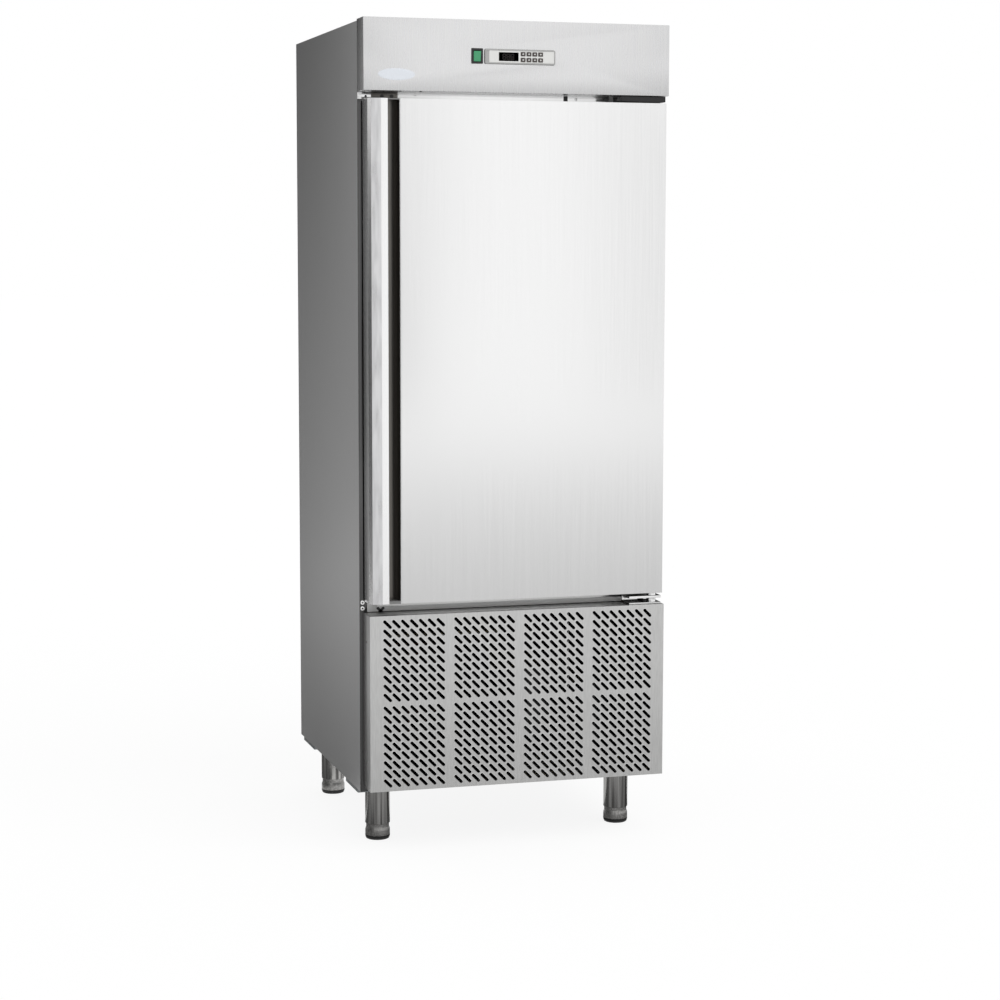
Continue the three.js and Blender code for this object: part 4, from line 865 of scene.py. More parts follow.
def controller():
    low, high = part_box("controller_housing")
    mid_x, mid_z = (low.x + high.x) / 2, (low.z + high.z) / 2
    depth = FASCIA_FRONT - low.y
    bezel = plate_piece(
        "controller_bezel", (mid_x, low.y + depth / 2, mid_z), (high.x - low.x, depth - 0.0004, high.z - low.z), 4, 1.2,
    )
    rim = BEZEL_RIM * MM
    cutter = plate_piece(
        "recess_cutter", (mid_x, low.y, mid_z),
        (high.x - low.x - 2 * rim, 2 * RECESS * MM, high.z - low.z - 2 * rim), 2.5, 0,
    )
    cut_out(bezel, cutter)
    cut_out(bezel, key_holes())
    place_piece(bezel, silver_abs, "cabinet", ["controller_housing"])
    floor_y = low.y + RECESS * MM
    foil_low, foil_high = low.x + FOIL_LEFT * MM, high.x - rim - 0.0004
    foil = plate_piece(
        "controller_foil", ((foil_low + foil_high) / 2, floor_y - 0.0002, mid_z),
        (foil_high - foil_low, 0.0006, high.z - low.z - 2 * rim - 0.0008), 1.5, 0,
    )
    cut_out(foil, key_holes())
    place_piece(foil, key_foil, "cabinet")
    body = plate_piece(
        "controller_case", (mid_x, FASCIA_FRONT + 0.0265, mid_z),
        (high.x - low.x - 0.0122, 0.055, high.z - low.z - 0.0062), 1.5, 0.6,
    )
    place_piece(body, black_nylon, "cabinet")
    # A thin dark plate between bezel and sheet shows as a dark line round the bezel: painted shadow of the bezel's
    # edge.
    shadow_line = plate_piece(
        "controller_shadow_line", (mid_x, FASCIA_FRONT - 0.0003, mid_z),
        (high.x - low.x + 2 * SHADOW_LINE_LIP * MM, 0.0004, high.z - low.z + 2 * SHADOW_LINE_LIP * MM), 4.5, 0,
    )
    place_piece(shadow_line, sole_rubber, "cabinet")


def window_and_digits():
    low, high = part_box("display_window")
    middle = (low + high) / 2
    window = plate_piece(
        "display_window_smoked", (middle.x, low.y + 0.0011, middle.z), (high.x - low.x, 0.0008, high.z - low.z), 1, 0.2,
    )
    place_piece(window, smoked_window, "cabinet", ["display_window"])
    bm = bmesh.new()
    digit_width, digit_height, bar = 7.0, 13.0, 1.1
    for place in (-11.5, -1.0, 9.5):
        x, z = middle.x + place * MM, middle.z
        y = low.y + 0.0006
        upright = (digit_height / 2 - bar * 1.5)
        for sx, sz in ((-1, -1), (1, -1), (-1, 1), (1, 1)):
            plate(bm, (x + sx * digit_width / 2 * MM, y, z + sz * digit_height / 4 * MM),
                  (bar * MM, 0.0001, upright * MM), 0.4, 2)
        for level in (-1, 0, 1):
            plate(bm, (x, y, z + level * digit_height / 2 * MM), ((digit_width - bar * 1.6) * MM, 0.0001, bar * MM), 0.4, 2)
    bmesh.ops.recalc_face_normals(bm, faces=bm.faces)
    place_piece(rounded("display_segments", bm, 0), segment_grey, "cabinet")


def key(number):
    node = f"key_{number}"
    low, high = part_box(node)
    middle = (low + high) / 2
    cap = plate_piece(f"key_cap_{number}", (middle.x, low.y + 0.0018, middle.z), (high.x - low.x, 0.0024, high.z - low.z), 1.5, 0.4)
    place_piece(cap, key_dark, node, [node])
    button = plate_piece(
        f"key_button_{number}", (middle.x, low.y + 0.0005, middle.z),
        (KEY_BUTTON[0] * MM, 0.001, KEY_BUTTON[1] * MM), 1.8, 0.3,
    )
    place_piece(button, key_foil, node)


controller()
window_and_digits()
for number in range(1, KEY_COUNT + 1):
    key(number)
print("controller made")

# %% [markdown]
# ## The mains switch
# A green rocker sits in a black snap-in frame. The rocker is a shallow V, so one half is always pressed in. It is
# copied from its solid, which already stands tipped, and its long edges are well rounded as on a moulding.

# %% Mains switch


def switch():
    low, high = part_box("switch_frame")
    proud = FASCIA_FRONT - low.y
    middle = Vector(((low.x + high.x) / 2, low.y + proud / 2, (low.z + high.z) / 2))
    frame_piece = plate_piece("switch_bezel", middle, (high.x - low.x, proud - 0.0002, high.z - low.z), 2, 0.8)
    rocker_low, rocker_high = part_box("switch_rocker")
    well = plate_piece(
        "well_cutter", middle,
        (rocker_high.x - rocker_low.x + 0.0006, 0.02, 0.0279), 0.6, 0,
    )
    cut_out(frame_piece, well)
    place_piece(frame_piece, black_nylon, "cabinet", ["switch_frame"])
    bm = bmesh.new()
    back = FASCIA_FRONT + 0.026
    for x0, x1, z0, z1 in (
        (low.x + 0.002, rocker_low.x - 0.0003, low.z + 0.002, high.z - 0.002),
        (rocker_high.x + 0.0003, high.x - 0.002, low.z + 0.002, high.z - 0.002),
        (rocker_low.x - 0.0003, rocker_high.x + 0.0003, low.z + 0.002, middle.z - 0.01395),
        (rocker_low.x - 0.0003, rocker_high.x + 0.0003, middle.z + 0.01395, high.z - 0.002),
    ):
        plate(bm, ((x0 + x1) / 2, (FASCIA_FRONT + back) / 2, (z0 + z1) / 2), (x1 - x0, back - FASCIA_FRONT, z1 - z0), 0.1, 1)
    plate(bm, (middle.x, back - 0.001, middle.z), (rocker_high.x - rocker_low.x, 0.002, 0.0278), 0.1, 1)
    bmesh.ops.recalc_face_normals(bm, faces=bm.faces)
    place_piece(rounded("switch_case", bm, 0), black_nylon, "cabinet")
    copy_of("switch_rocker", 1.2, green_rocker, "switch_rocker_cap", segments=3)


switch()

# %% [markdown]
# ## The blank badge
# An oval plate is stuck to the fascia's lower left corner. It is left bare here, a slightly domed pale plate.

# %% Badge
BADGE = {"left": -363.2, "right": -269.3, "bottom": 1951.2, "top": 1980.4, "thickness": 0.9}


def badge():
    mid_x = (BADGE["left"] + BADGE["right"]) / 2 * MM
    mid_z = (BADGE["bottom"] + BADGE["top"]) / 2 * MM
    half_x = (BADGE["right"] - BADGE["left"]) / 2 * MM
    half_z = (BADGE["top"] - BADGE["bottom"]) / 2 * MM
    bm = bmesh.new()
    steps = 72
    rings = []
    for share, height in ((1.0, 0.0), (1.0, 0.45), (0.97, 0.7), (0.7, 0.85)):
        rings.append([
            bm.verts.new((
                mid_x + half_x * share * math.cos(math.tau * i / steps),
                FASCIA_FRONT - height * BADGE["thickness"] * MM / 0.9,
                mid_z + half_z * share * math.sin(math.tau * i / steps),
            )) for i in range(steps)
        ])
    for outer, inner in zip(rings, rings[1:]):
        for i in range(steps):
            j = (i + 1) % steps
            bm.faces.new((outer[i], outer[j], inner[j], inner[i]))
    bm.faces.new(rings[0])
    bm.faces.new(rings[-1])
    bmesh.ops.recalc_face_normals(bm, faces=bm.faces)
    return place_piece(rounded("blank_badge", bm, 0), badge_plastic, "cabinet")


badge()

# %% [markdown]
# ## Door gasket
# A magnetic gasket is a soft vinyl bellows with a magnet strip in its front bulb. Its section is carried round
# the door's inner face and mitred at the corners.

# %% Gasket


def gasket():
    low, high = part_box("door_gasket")
    depth = (high.y - low.y) / MM
    section = [(x, y * depth / 7.1) for x, y in [
        (0, 0), (24, 0), (24, 1.2), (19.6, 1.6), (21.2, 3.6), (20.4, 4.6), (22.2, 5.4), (22.2, 7.1),
        (1.8, 7.1), (1.8, 5.4), (3.6, 4.6), (2.8, 3.6), (4.4, 1.6), (0, 1.2),
    ]]
    bm = bmesh.new()
    loops = []
    for sx, sz in ((-1, -1), (1, -1), (1, 1), (-1, 1)):
        loop = []
        for inset, y in section:
            x = (low.x if sx < 0 else high.x) - sx * inset * MM
            z = (low.z if sz < 0 else high.z) - sz * inset * MM
            loop.append(bm.verts.new((x, low.y + y * MM, z)))
        loops.append(loop)
    for k in range(4):
        here, there = loops[k], loops[(k + 1) % 4]
        for i in range(len(section)):
            j = (i + 1) % len(section)
            bm.faces.new((here[i], here[j], there[j], there[i]))
    bmesh.ops.recalc_face_normals(bm, faces=bm.faces)
    return place_piece(rounded("door_gasket_bellows", bm, 0), gasket_vinyl, "door", ["door_gasket"])


gasket()

# %% [markdown]
# ## Fan wheels
# Each wheel is a moulded hub with five broad blades. A blade's pitch falls from root to tip, so it is built as a
# grid of points on a twisted surface and given its thickness.

# %% Fan wheels
BLADES = 5
HUB_RADIUS = 34
HUB_LENGTH = 24
BLADE_THICKNESS = 1.8


def blade_grid(bm, centre, radius, turn):
    across, out = 10, 8
    rows = []
    for i in range(out + 1):
        share = i / out
        r = HUB_RADIUS * 0.92 + (radius - HUB_RADIUS * 0.92) * share
        sweep = math.radians(46 - 10 * share)
        pitch = math.radians(30 - 12 * share)
        row = []
        for k in range(across + 1):
            along = (k / across - 0.5) * sweep
            trail = math.radians(16) * share
            depth = math.sin(along) * r * math.tan(pitch)
            depth = max(min(depth, HUB_LENGTH / 2 - 1.5), -HUB_LENGTH / 2 + 1.5)
            angle = turn + along + trail
            row.append(bm.verts.new(centre + Vector((
                r * math.sin(angle) * MM, depth * MM, r * math.cos(angle) * MM,
            ))))
        rows.append(row)
    for lower, upper in zip(rows, rows[1:]):
        for k in range(across):
            bm.faces.new((lower[k], lower[k + 1], upper[k + 1], upper[k]))


def forward_disc(bm, centre, profile, steps=48):
    """A turned shape whose axis points to the front; profile of (radius, distance towards the front)."""
    part = bmesh.new()
    turned(part, profile, Vector((0, 0, 0)), steps)
    bmesh.ops.recalc_face_normals(part, faces=part.faces)
    mesh = bpy.data.meshes.new("part")
    part.to_mesh(mesh)
    part.free()
    mesh.transform(Matrix.Translation(centre) @ Matrix.Rotation(math.pi / 2, 4, "X"))
    bm.from_mesh(mesh)
    bpy.data.meshes.remove(mesh)


def fan_wheel(node, radius):
    low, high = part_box(node)
    joint = next(j for j in frame["joints"] if j["child"] == node)
    centre = Vector((joint["pos_m"][0], (low.y + high.y) / 2, joint["pos_m"][2]))
    bm = bmesh.new()
    for number in range(BLADES):
        blade_grid(bm, centre, radius, math.tau * number / BLADES)
    mesh = bpy.data.meshes.new("blades")
    bm.to_mesh(mesh)
    bm.free()
    blades = object_of("blades", mesh)
    wall = blades.modifiers.new("wall", "SOLIDIFY")
    wall.thickness = BLADE_THICKNESS * MM
    wall.offset = 0
    solid = evaluated_mesh(blades)
    bpy.data.objects.remove(blades)
    bm = bmesh.new()
    bm.from_mesh(solid)
    half = HUB_LENGTH / 2
    forward_disc(bm, centre, [
        (0, -half), (HUB_RADIUS - 1, -half), (HUB_RADIUS, -half + 1), (HUB_RADIUS, half - 3),
        (HUB_RADIUS - 3, half), (HUB_RADIUS * 0.5, half), (HUB_RADIUS * 0.4, half - 1.5), (0, half - 1.5),
    ])
    return place_piece(rounded(f"{node}_wheel", bm, 0), black_nylon, node, [node])


fan_wheel("evaporator_fan_upper", 96)
fan_wheel("evaporator_fan_lower", 96)
fan_wheel("condenser_fan", 123)
print("fan wheels made")

# %% [markdown]
# ## Fan guards
# A wire guard of rings on eight spokes keeps fingers out of each chamber fan. All its wires are lines of one curve
# object, which gives them their thickness, and the result is kept as a mesh.

# %% Fan guards
GUARD_WIRE = 1.2
GUARD_RINGS = (18, 38, 58, 78, 98, 106)
GUARD_SPOKES = 8
GUARD_STEPS = 48


def around(centre, radius, turn):
    return centre + Vector((math.sin(turn), 0, math.cos(turn))) * radius * MM


def fan_guard(fan):
    joint = next(j for j in frame["joints"] if j["child"] == fan)
    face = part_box("evaporator_cover")[0].y
    rings = Vector((joint["pos_m"][0], face - GUARD_WIRE * MM, joint["pos_m"][2]))
    curve = bpy.data.curves.new("guard", "CURVE")
    curve.dimensions = "3D"
    curve.bevel_depth = GUARD_WIRE * MM
    curve.bevel_resolution = 2
    curve.use_fill_caps = True
    for radius in GUARD_RINGS:
        ring = curve.splines.new("POLY")
        ring.points.add(GUARD_STEPS - 1)
        ring.use_cyclic_u = True
        for number, point in enumerate(ring.points):
            point.co = (*around(rings, radius, math.tau * number / GUARD_STEPS), 1)
    for number in range(GUARD_SPOKES):
        spoke = curve.splines.new("POLY")
        spoke.points.add(1)
        for point, radius in zip(spoke.points, (GUARD_RINGS[0], GUARD_RINGS[-1])):
            point.co = (*around(rings, radius, math.tau * (number + 0.5) / GUARD_SPOKES), 1)
    holder = object_of("guard", curve)
    mesh = evaluated_mesh(holder)
    bpy.data.objects.remove(holder)
    shade(mesh, 50)
    return place_piece(object_of(f"{fan}_guard", mesh), polished_stainless, "cabinet")


for fan in ("evaporator_fan_upper", "evaporator_fan_lower"):
    fan_guard(fan)
print("fan guards made")

# %% [markdown]
# ## Coils
# A refrigeration coil is a stack of thin aluminium fins on rows of copper tube, held by two end plates. The real
# fins are about 3 mm apart; here they stand 5 mm apart, so that they can be told from each other.

# %% Coils
FIN_PITCH = 5.0
FIN_THICKNESS = 0.5
TUBE_RADIUS = 4.8
TUBE_PITCH = 25.0


def fin_tree():
    tree, given = new_tree("fin_block", {
        "Size": "Vector", "Centre": "Vector", "Pitch": "Float", "Fin": "Float", "Material": "Material",
    })
    value = given.outputs
    size = add_node(tree, "ShaderNodeSeparateXYZ", None, {0: value["Size"]}).outputs
    count = sums(tree, "FLOOR", sums(tree, "DIVIDE", size["X"], value["Pitch"]), 0.0)
    start = sums(tree, "MULTIPLY", sums(tree, "MULTIPLY", sums(tree, "SUBTRACT", count, 1), value["Pitch"]), -0.5)
    line = add_node(tree, "GeometryNodeMeshLine", {"mode": "OFFSET"}, {
        "Count": count, "Start Location": vector_of(tree, x=start), "Offset": vector_of(tree, x=value["Pitch"]),
    })
    fin = add_node(tree, "GeometryNodeMeshCube", None, {"Size": vector_of(tree, value["Fin"], size["Y"], size["Z"])})
    fins = add_node(tree, "GeometryNodeInstanceOnPoints", None, {"Points": line.outputs[0], "Instance": fin.outputs[0]})
    placed = add_node(tree, "GeometryNodeTransform", None, {"Geometry": fins.outputs[0], "Translation": value["Centre"]})
    return end_tree(tree, placed.outputs[0], value["Material"])


FIN_BLOCK = fin_tree()


def tube_run(name, points, radius, body="cabinet"):
    """A round tube along a smooth line of points in metres."""
    curve = bpy.data.curves.new(name, "CURVE")
    curve.dimensions = "3D"
    curve.bevel_depth = radius * MM
    curve.bevel_resolution = 4
    curve.use_fill_caps = True
    line = curve.splines.new("POLY")
    line.points.add(len(points) - 1)
    for point, place in zip(line.points, points):
        point.co = (*place, 1)
    holder = object_of(name, curve)
    mesh = evaluated_mesh(holder)
    bpy.data.objects.remove(holder)
    shade(mesh, 50)
    return place_piece(object_of(name, mesh), copper, body)


def coil(node, plate_thickness, foil, plates):
    low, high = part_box(node)
    centre = (low + high) / 2
    size = high - low
    edge = plate_thickness * MM
    fins = grown(f"{node}_fins", FIN_BLOCK, {
        "Size": (size.x - 2 * edge, size.y - 0.006, size.z - 0.006), "Centre": tuple(centre), "Pitch": FIN_PITCH * MM,
        "Fin": FIN_THICKNESS * MM, "Material": foil,
    })
    place_piece(fins, None, "cabinet", [node])
    bm = bmesh.new()
    for side in (-1, 1):
        x = centre.x + side * (size.x / 2 - edge / 2)
        corners = [(x - edge / 2, low.y), (x + edge / 2, low.y), (x + edge / 2, high.y), (x - edge / 2, high.y)]
        prism(bm, corners, low.z, high.z)
    bmesh.ops.recalc_face_normals(bm, faces=bm.faces)
    place_piece(rounded(f"{node}_end_plates", bm, 0.5), plates, "cabinet")
    rows = int(size.z / MM / TUBE_PITCH)
    for number, y in enumerate((centre.y - size.y / 5, centre.y + size.y / 5)):
        points = []
        for row in range(rows):
            z = low.z + (row + 0.5) * size.z / rows
            ends = (low.x + 0.002, high.x - 0.002)
            ends = ends if row % 2 == 0 else ends[::-1]
            points += [(ends[0], y, z), (ends[1], y, z)]
        tube_run(f"{node}_tube_{number + 1}", points, TUBE_RADIUS)


coil("evaporator_coil", 1.5, fin_foil, galvanised)
# The condenser's fins and end plates are painted near black: painted shade of the compartment.
coil("condenser_coil", 6, condenser_fins_painted_shade, compartment_painted_shade)
print("coils made")

# %% [markdown]
# ## Screws
# Pan-head screws hold the plates. One tree sets a domed head with a cross recess on every point that it is
# given, turned to face out of the sheet.

# %% Screws


def screw_tree():
    tree, given = new_tree("screw_heads", {
        "Radius": "Float", "Height": "Float", "Facing": "Vector", "Material": "Material", "Recess Material": "Material",
    })
    value = given.outputs
    wide = add_node(tree, "GeometryNodeMeshCylinder", {"Vertices": 20}, {
        "Radius": value["Radius"], "Depth": sums(tree, "MULTIPLY", value["Height"], 0.6),
    })
    dome = add_node(tree, "GeometryNodeMeshCone", {"Vertices": 20}, {
        "Radius Top": sums(tree, "MULTIPLY", value["Radius"], 0.62), "Radius Bottom": value["Radius"],
        "Depth": sums(tree, "MULTIPLY", value["Height"], 0.4),
    })
    lifted = add_node(tree, "GeometryNodeTransform", None, {
        "Geometry": dome.outputs[0], "Translation": vector_of(tree, z=sums(tree, "MULTIPLY", value["Height"], 0.3)),
    })
    head = add_node(tree, "GeometryNodeJoinGeometry")
    tree.links.new(wide.outputs[0], head.inputs[0])
    tree.links.new(lifted.outputs[0], head.inputs[0])
    metal = add_node(tree, "GeometryNodeSetMaterial", None, {"Geometry": head.outputs[0], "Material": value["Material"]})
    long_side = sums(tree, "MULTIPLY", value["Radius"], 0.9)
    short_side = sums(tree, "MULTIPLY", value["Radius"], 0.24)
    thin = sums(tree, "MULTIPLY", value["Height"], 0.1)
    recess = add_node(tree, "GeometryNodeJoinGeometry")
    for sides in ((long_side, short_side), (short_side, long_side)):
        bar = add_node(tree, "GeometryNodeMeshCube", None, {"Size": vector_of(tree, *sides, thin)})
        tree.links.new(bar.outputs[0], recess.inputs[0])
    sunk = add_node(tree, "GeometryNodeTransform", None, {
        "Geometry": recess.outputs[0], "Translation": vector_of(tree, z=sums(tree, "MULTIPLY", value["Height"], 0.68)),
    })
    dark = add_node(tree, "GeometryNodeSetMaterial", None, {
        "Geometry": sunk.outputs[0], "Material": value["Recess Material"],
    })
    whole = add_node(tree, "GeometryNodeJoinGeometry")
    tree.links.new(metal.outputs[0], whole.inputs[0])
    tree.links.new(dark.outputs[0], whole.inputs[0])
    heads = add_node(tree, "GeometryNodeInstanceOnPoints", None, {
        "Points": given.outputs["Geometry"], "Instance": whole.outputs[0], "Rotation": value["Facing"],
    })
    real = add_node(tree, "GeometryNodeRealizeInstances", None, {"Geometry": heads.outputs[0]})
    add_node(tree, "NodeGroupOutput", None, {0: real.outputs[0]})
    return tree


SCREW_HEADS = screw_tree()
FACING = {
    "front": (math.pi / 2, 0, 0), "back": (-math.pi / 2, 0, 0), "left": (0, -math.pi / 2, 0),
    "right": (0, math.pi / 2, 0), "up": (0, 0, 0), "down": (math.pi, 0, 0),
}


def screws(name, places, facing, radius=4.0, height=2.2, body="cabinet", material=None, recess=None):
    """Screw heads at places in millimetres, facing one way."""
    mesh = bpy.data.meshes.new(name)
    mesh.from_pydata([Vector(p) * MM for p in places], [], [])
    piece = grown(name, SCREW_HEADS, {
        "Radius": radius * MM, "Height": height * MM, "Facing": FACING[facing],
        "Material": material or polished_stainless, "Recess Material": recess or hinge_black,
    }, mesh)
    shade(piece.data)
    return place_piece(piece, None, body)


def corners_mm(node):
    low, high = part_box(node)
    return low / MM, high / MM


def screw_everything():
    low, high = corners_mm("rear_cover")
    spread_x = [low.x + 10, (low.x + high.x) / 2, high.x - 10]
    screws("rear_cover_screws", [(x, high.y + 0.6, z) for x in spread_x for z in (low.z + 10, high.z - 10)], "back")
    low, high = corners_mm("back_panel")
    heights = [low.z + 20 + (high.z - low.z - 40) * i / 5 for i in range(6)]
    screws("back_panel_screws", [(x, high.y - 0.4, z) for x in (low.x + 9, high.x - 9) for z in heights], "back", 3.2, 0.7)
    for corner in ("front_left", "front_right", "rear_left", "rear_right"):
        low, high = corners_mm(f"leg_{corner}")
        under = high.z - FLANGE_THICKNESS - 0.6
        screws(f"leg_bolts_{corner}", [(x, y, under) for x in (low.x + 10, high.x - 10) for y in (low.y + 10, high.y - 10)],
               "down", 5.0, 3.0)
    low, high = corners_mm("grille_surround")
    side_x = low.x - 0.4
    screws("grille_side_screws", [(side_x, low.y + 34, z) for z in (low.z + 70, high.z - 70)], "left", 3.4, 1.6)
    low, high = corners_mm("electrical_box")
    screws("electrical_lid_screws", [(x, low.y - 0.6, z) for x in (low.x + 10, high.x - 10) for z in (low.z + 10, high.z - 12)],
           "front", 3.5, 2)
    low, high = corners_mm("evaporator_cover")
    heights = [low.z + 15, (low.z + high.z) / 2, high.z - 15]
    screws("evaporator_cover_screws", [(x, low.y - 0.5, z) for x in (low.x + 14, high.x - 14) for z in heights], "front", 4, 1.8)


screw_everything()
print("screws set")

# %% [markdown]
# ## The rear cover
# The machine compartment's warm air leaves through louvres: each is a slit whose upper edge is pressed out into a
# hood, so that nothing falls in and no light shines through. One hood shape is set on a line of points.

# %% Rear cover with hooded louvres
LOUVRE_COUNT = 12
LOUVRE_PITCH = 24.0
LOUVRE_LENGTH = 500.0
HOOD_HEIGHT = 15.0
HOOD_REACH = 9.0
HOOD_SHEET = 1.0


def hood_tree():
    """Hoods on a vertical line of points; the hood is given as a mesh."""
    tree, given = new_tree("louvre_hoods", {
        "Count": "Int", "Pitch": "Float", "First": "Vector", "Material": "Material",
    })
    value = given.outputs
    line = add_node(tree, "GeometryNodeMeshLine", {"mode": "OFFSET"}, {
        "Count": value["Count"], "Start Location": value["First"], "Offset": vector_of(tree, z=value["Pitch"]),
    })
    hoods = add_node(tree, "GeometryNodeInstanceOnPoints", None, {
        "Points": line.outputs[0], "Instance": value["Geometry"],
    })
    return end_tree(tree, hoods.outputs[0], value["Material"])


def hood_mesh():
    """One hood about its slit's centre: a curved sheet, closed at both ends."""
    half, steps = LOUVRE_LENGTH / 2 + 3, 6
    profile = arc((0, -HOOD_HEIGHT / 2), (HOOD_REACH, HOOD_HEIGHT), 90, 0, steps)
    inner = arc((0, -HOOD_HEIGHT / 2), (HOOD_REACH - HOOD_SHEET, HOOD_HEIGHT - HOOD_SHEET), 0, 90, steps)
    bm = bmesh.new()
    outline = [(y * MM, z * MM) for y, z in profile + inner]
    ends = []
    for x in (-half * MM, half * MM):
        ends.append([bm.verts.new((x, y, z)) for y, z in outline])
    count = len(outline)
    for i in range(count):
        j = (i + 1) % count
        bm.faces.new((ends[0][i], ends[0][j], ends[1][j], ends[1][i]))
    bm.faces.new(ends[0])
    bm.faces.new(ends[1][::-1])
    # End walls fill the quarter round at each side of the slit.
    for side in (-1, 1):
        x0 = side * half * MM
        x1 = side * (half - 1.2) * MM
        wall = [(0.0, -HOOD_HEIGHT / 2 * MM)] + [(y * MM, z * MM) for y, z in profile[::-1]]
        near = [bm.verts.new((x0, y * 0.995, z * 0.995)) for y, z in wall]
        far = [bm.verts.new((x1, y * 0.995, z * 0.995)) for y, z in wall]
        for i in range(len(wall)):
            j = (i + 1) % len(wall)
            bm.faces.new((near[i], near[j], far[j], far[i]))
        bm.faces.new(near[::-1])
        bm.faces.new(far)
    bmesh.ops.recalc_face_normals(bm, faces=bm.faces)
    mesh = bpy.data.meshes.new("hood")
    bm.to_mesh(mesh)
    bm.free()
    return mesh


def rear_cover():
    low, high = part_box("rear_cover")
    cover = copy_of("rear_cover", 0.0, mill_stainless)
    middle = (low.z + high.z) / 2
    hoods = grown("louvre_hoods", hood_tree(), {
        "Count": LOUVRE_COUNT, "Pitch": LOUVRE_PITCH * MM,
        "First": (0.0, high.y, middle - (LOUVRE_COUNT - 1) / 2 * LOUVRE_PITCH * MM + 1.5 * MM),
        "Material": mill_stainless,
    }, hood_mesh())
    shade(hoods.data)
    place_piece(hoods, None, "cabinet")
    # What looks into the machine compartment is painted near black: painted shade of the closed compartment.
    for piece in (cover, hoods):
        refinish(piece, compartment_painted_shade, lambda normal, centre: normal.y < -0.2)


rear_cover()
print("rear cover made")

# %% [markdown]
# ## Trims, caps and mounting holes round the door
# The frame that the gasket seals on is faced with a bright trim where it shows above and below the door. At the
# grip side the door could also be hung the other way round, so the spare hinge holes are there: two capped ones in
# the side's front fold, and a cross-shaped one in the trim below the door.

# %% Trims and caps
CARCASS_Y = -333.1
TRIM_SHEET = 0.5


def box_piece(name, low, high, edge, material, body="cabinet", replaces=()):
    """A plain block between two corners in millimetres, with rounded edges."""
    bm = bmesh.new()
    corners = [(low[0], low[1]), (high[0], low[1]), (high[0], high[1]), (low[0], high[1])]
    prism(bm, [(x * MM, y * MM) for x, y in corners], low[2] * MM, high[2] * MM)
    bmesh.ops.recalc_face_normals(bm, faces=bm.faces)
    return place_piece(rounded(name, bm, edge), material, body, replaces)


def trims():
    front = CARCASS_Y - TRIM_SHEET
    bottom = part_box("frame_rail_bottom")[0].z / MM
    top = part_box("frame_rail_top")[1].z / MM
    door_low, door_high = corners_mm("door_outer_skin")
    # Below the door the trim has a step: the upper part stands a little prouder than the lower one.
    step = bottom + 12.5
    box_piece("bottom_trim_upper", (-354, front - 0.3, step), (306, CARCASS_Y, door_low.z + 10), 0.3, trim_stainless)
    box_piece("bottom_trim_lower", (-354, front, bottom + 1), (306, CARCASS_Y, step - 0.8), 0.2, pale_abs)
    box_piece("top_trim", (-296, front, door_high.z - 8), (262, CARCASS_Y, top - 1), 0.3, trim_stainless)


def capped_hole(name, x, z, radius, hole):
    """A round cap on the carcass front, with a black disc in its middle as painted shade of its hole."""
    bm = bmesh.new()
    centre = Vector((x, CARCASS_Y, z)) * MM
    forward_disc(bm, centre, [
        (0, 0), (radius, 0), (radius, 0.7), (radius - 0.8, 1.3), (hole, 1.3), (hole - 0.3, 0.7), (0, 0.7),
    ], 28)
    place_piece(rounded(name, bm, 0), trim_stainless, "cabinet")
    bm = bmesh.new()
    forward_disc(bm, centre + Vector((0, -0.75, 0)) * MM, [(0, 0), (hole - 0.4, 0), (hole - 0.4, 0.2), (0, 0.2)], 20)
    place_piece(rounded(f"{name}_hole", bm, 0), hinge_black, "cabinet")


def dark_disc(name, x, z, radius):
    """A hole in a plate, shown as a black disc just proud of it: painted shade in place of the hole's depth."""
    bm = bmesh.new()
    front = Vector((x, CARCASS_Y - 0.7, z)) * MM
    forward_disc(bm, front, [(0, 0), (radius, 0), (radius, 0.15), (0, 0.15)], 24)
    place_piece(rounded(name, bm, 0), hinge_black, "cabinet")


def spare_hinge_holes():
    for number, z in enumerate((641.0, 626.0)):
        capped_hole(f"spare_hinge_cap_{number + 1}", -391.8, z, 5.7, 2.3)
    # The cross-shaped hole: four arms shown as black plates on the trim, painted shade in place of the holes.
    bm = bmesh.new()
    y = (CARCASS_Y - TRIM_SHEET - 0.45) * MM
    for turn in (45, -45):
        part = bmesh.new()
        plate(part, (0, 0, 0), (26 * MM, 0.2 * MM, 7 * MM), 2.5, 3)
        mesh = bpy.data.meshes.new("arm")
        part.to_mesh(mesh)
        part.free()
        mesh.transform(Matrix.Translation((-345 * MM, y, 618 * MM)) @ Matrix.Rotation(math.radians(turn), 4, "Y"))
        bm.from_mesh(mesh)
        bpy.data.meshes.remove(mesh)
    bmesh.ops.recalc_face_normals(bm, faces=bm.faces)
    place_piece(rounded("spare_hinge_cross", bm, 0), hinge_black, "cabinet")
    # Above the door the same place is a shaded pocket, made as a flat plate whose dark colour is painted shade.
    # A black strip over it is the painted shadow under the fascia's edge.
    # Two screw holes sit in the pocket, beside a bright corner plate.
    box_piece("spare_hinge_pocket", (-364, CARCASS_Y - 0.4, 1909), (-297, CARCASS_Y, 1925), 0.1, recess_painted_shade)
    box_piece("pocket_fascia_shadow", (-364, CARCASS_Y - 0.8, 1925), (-297, CARCASS_Y, 1928), 0.1, hinge_black)
    box_piece("corner_plate", (-399.5, CARCASS_Y - 0.5, 1908.5), (-364.6, CARCASS_Y, 1925), 0.2, trim_stainless)
    dark_disc("pocket_hole_1", -336.5, 1915.5, 5.0)
    dark_disc("pocket_hole_2", -311.6, 1916.0, 5.0)
    dark_disc("corner_plate_hole", -378.0, 1915.0, 3.0)


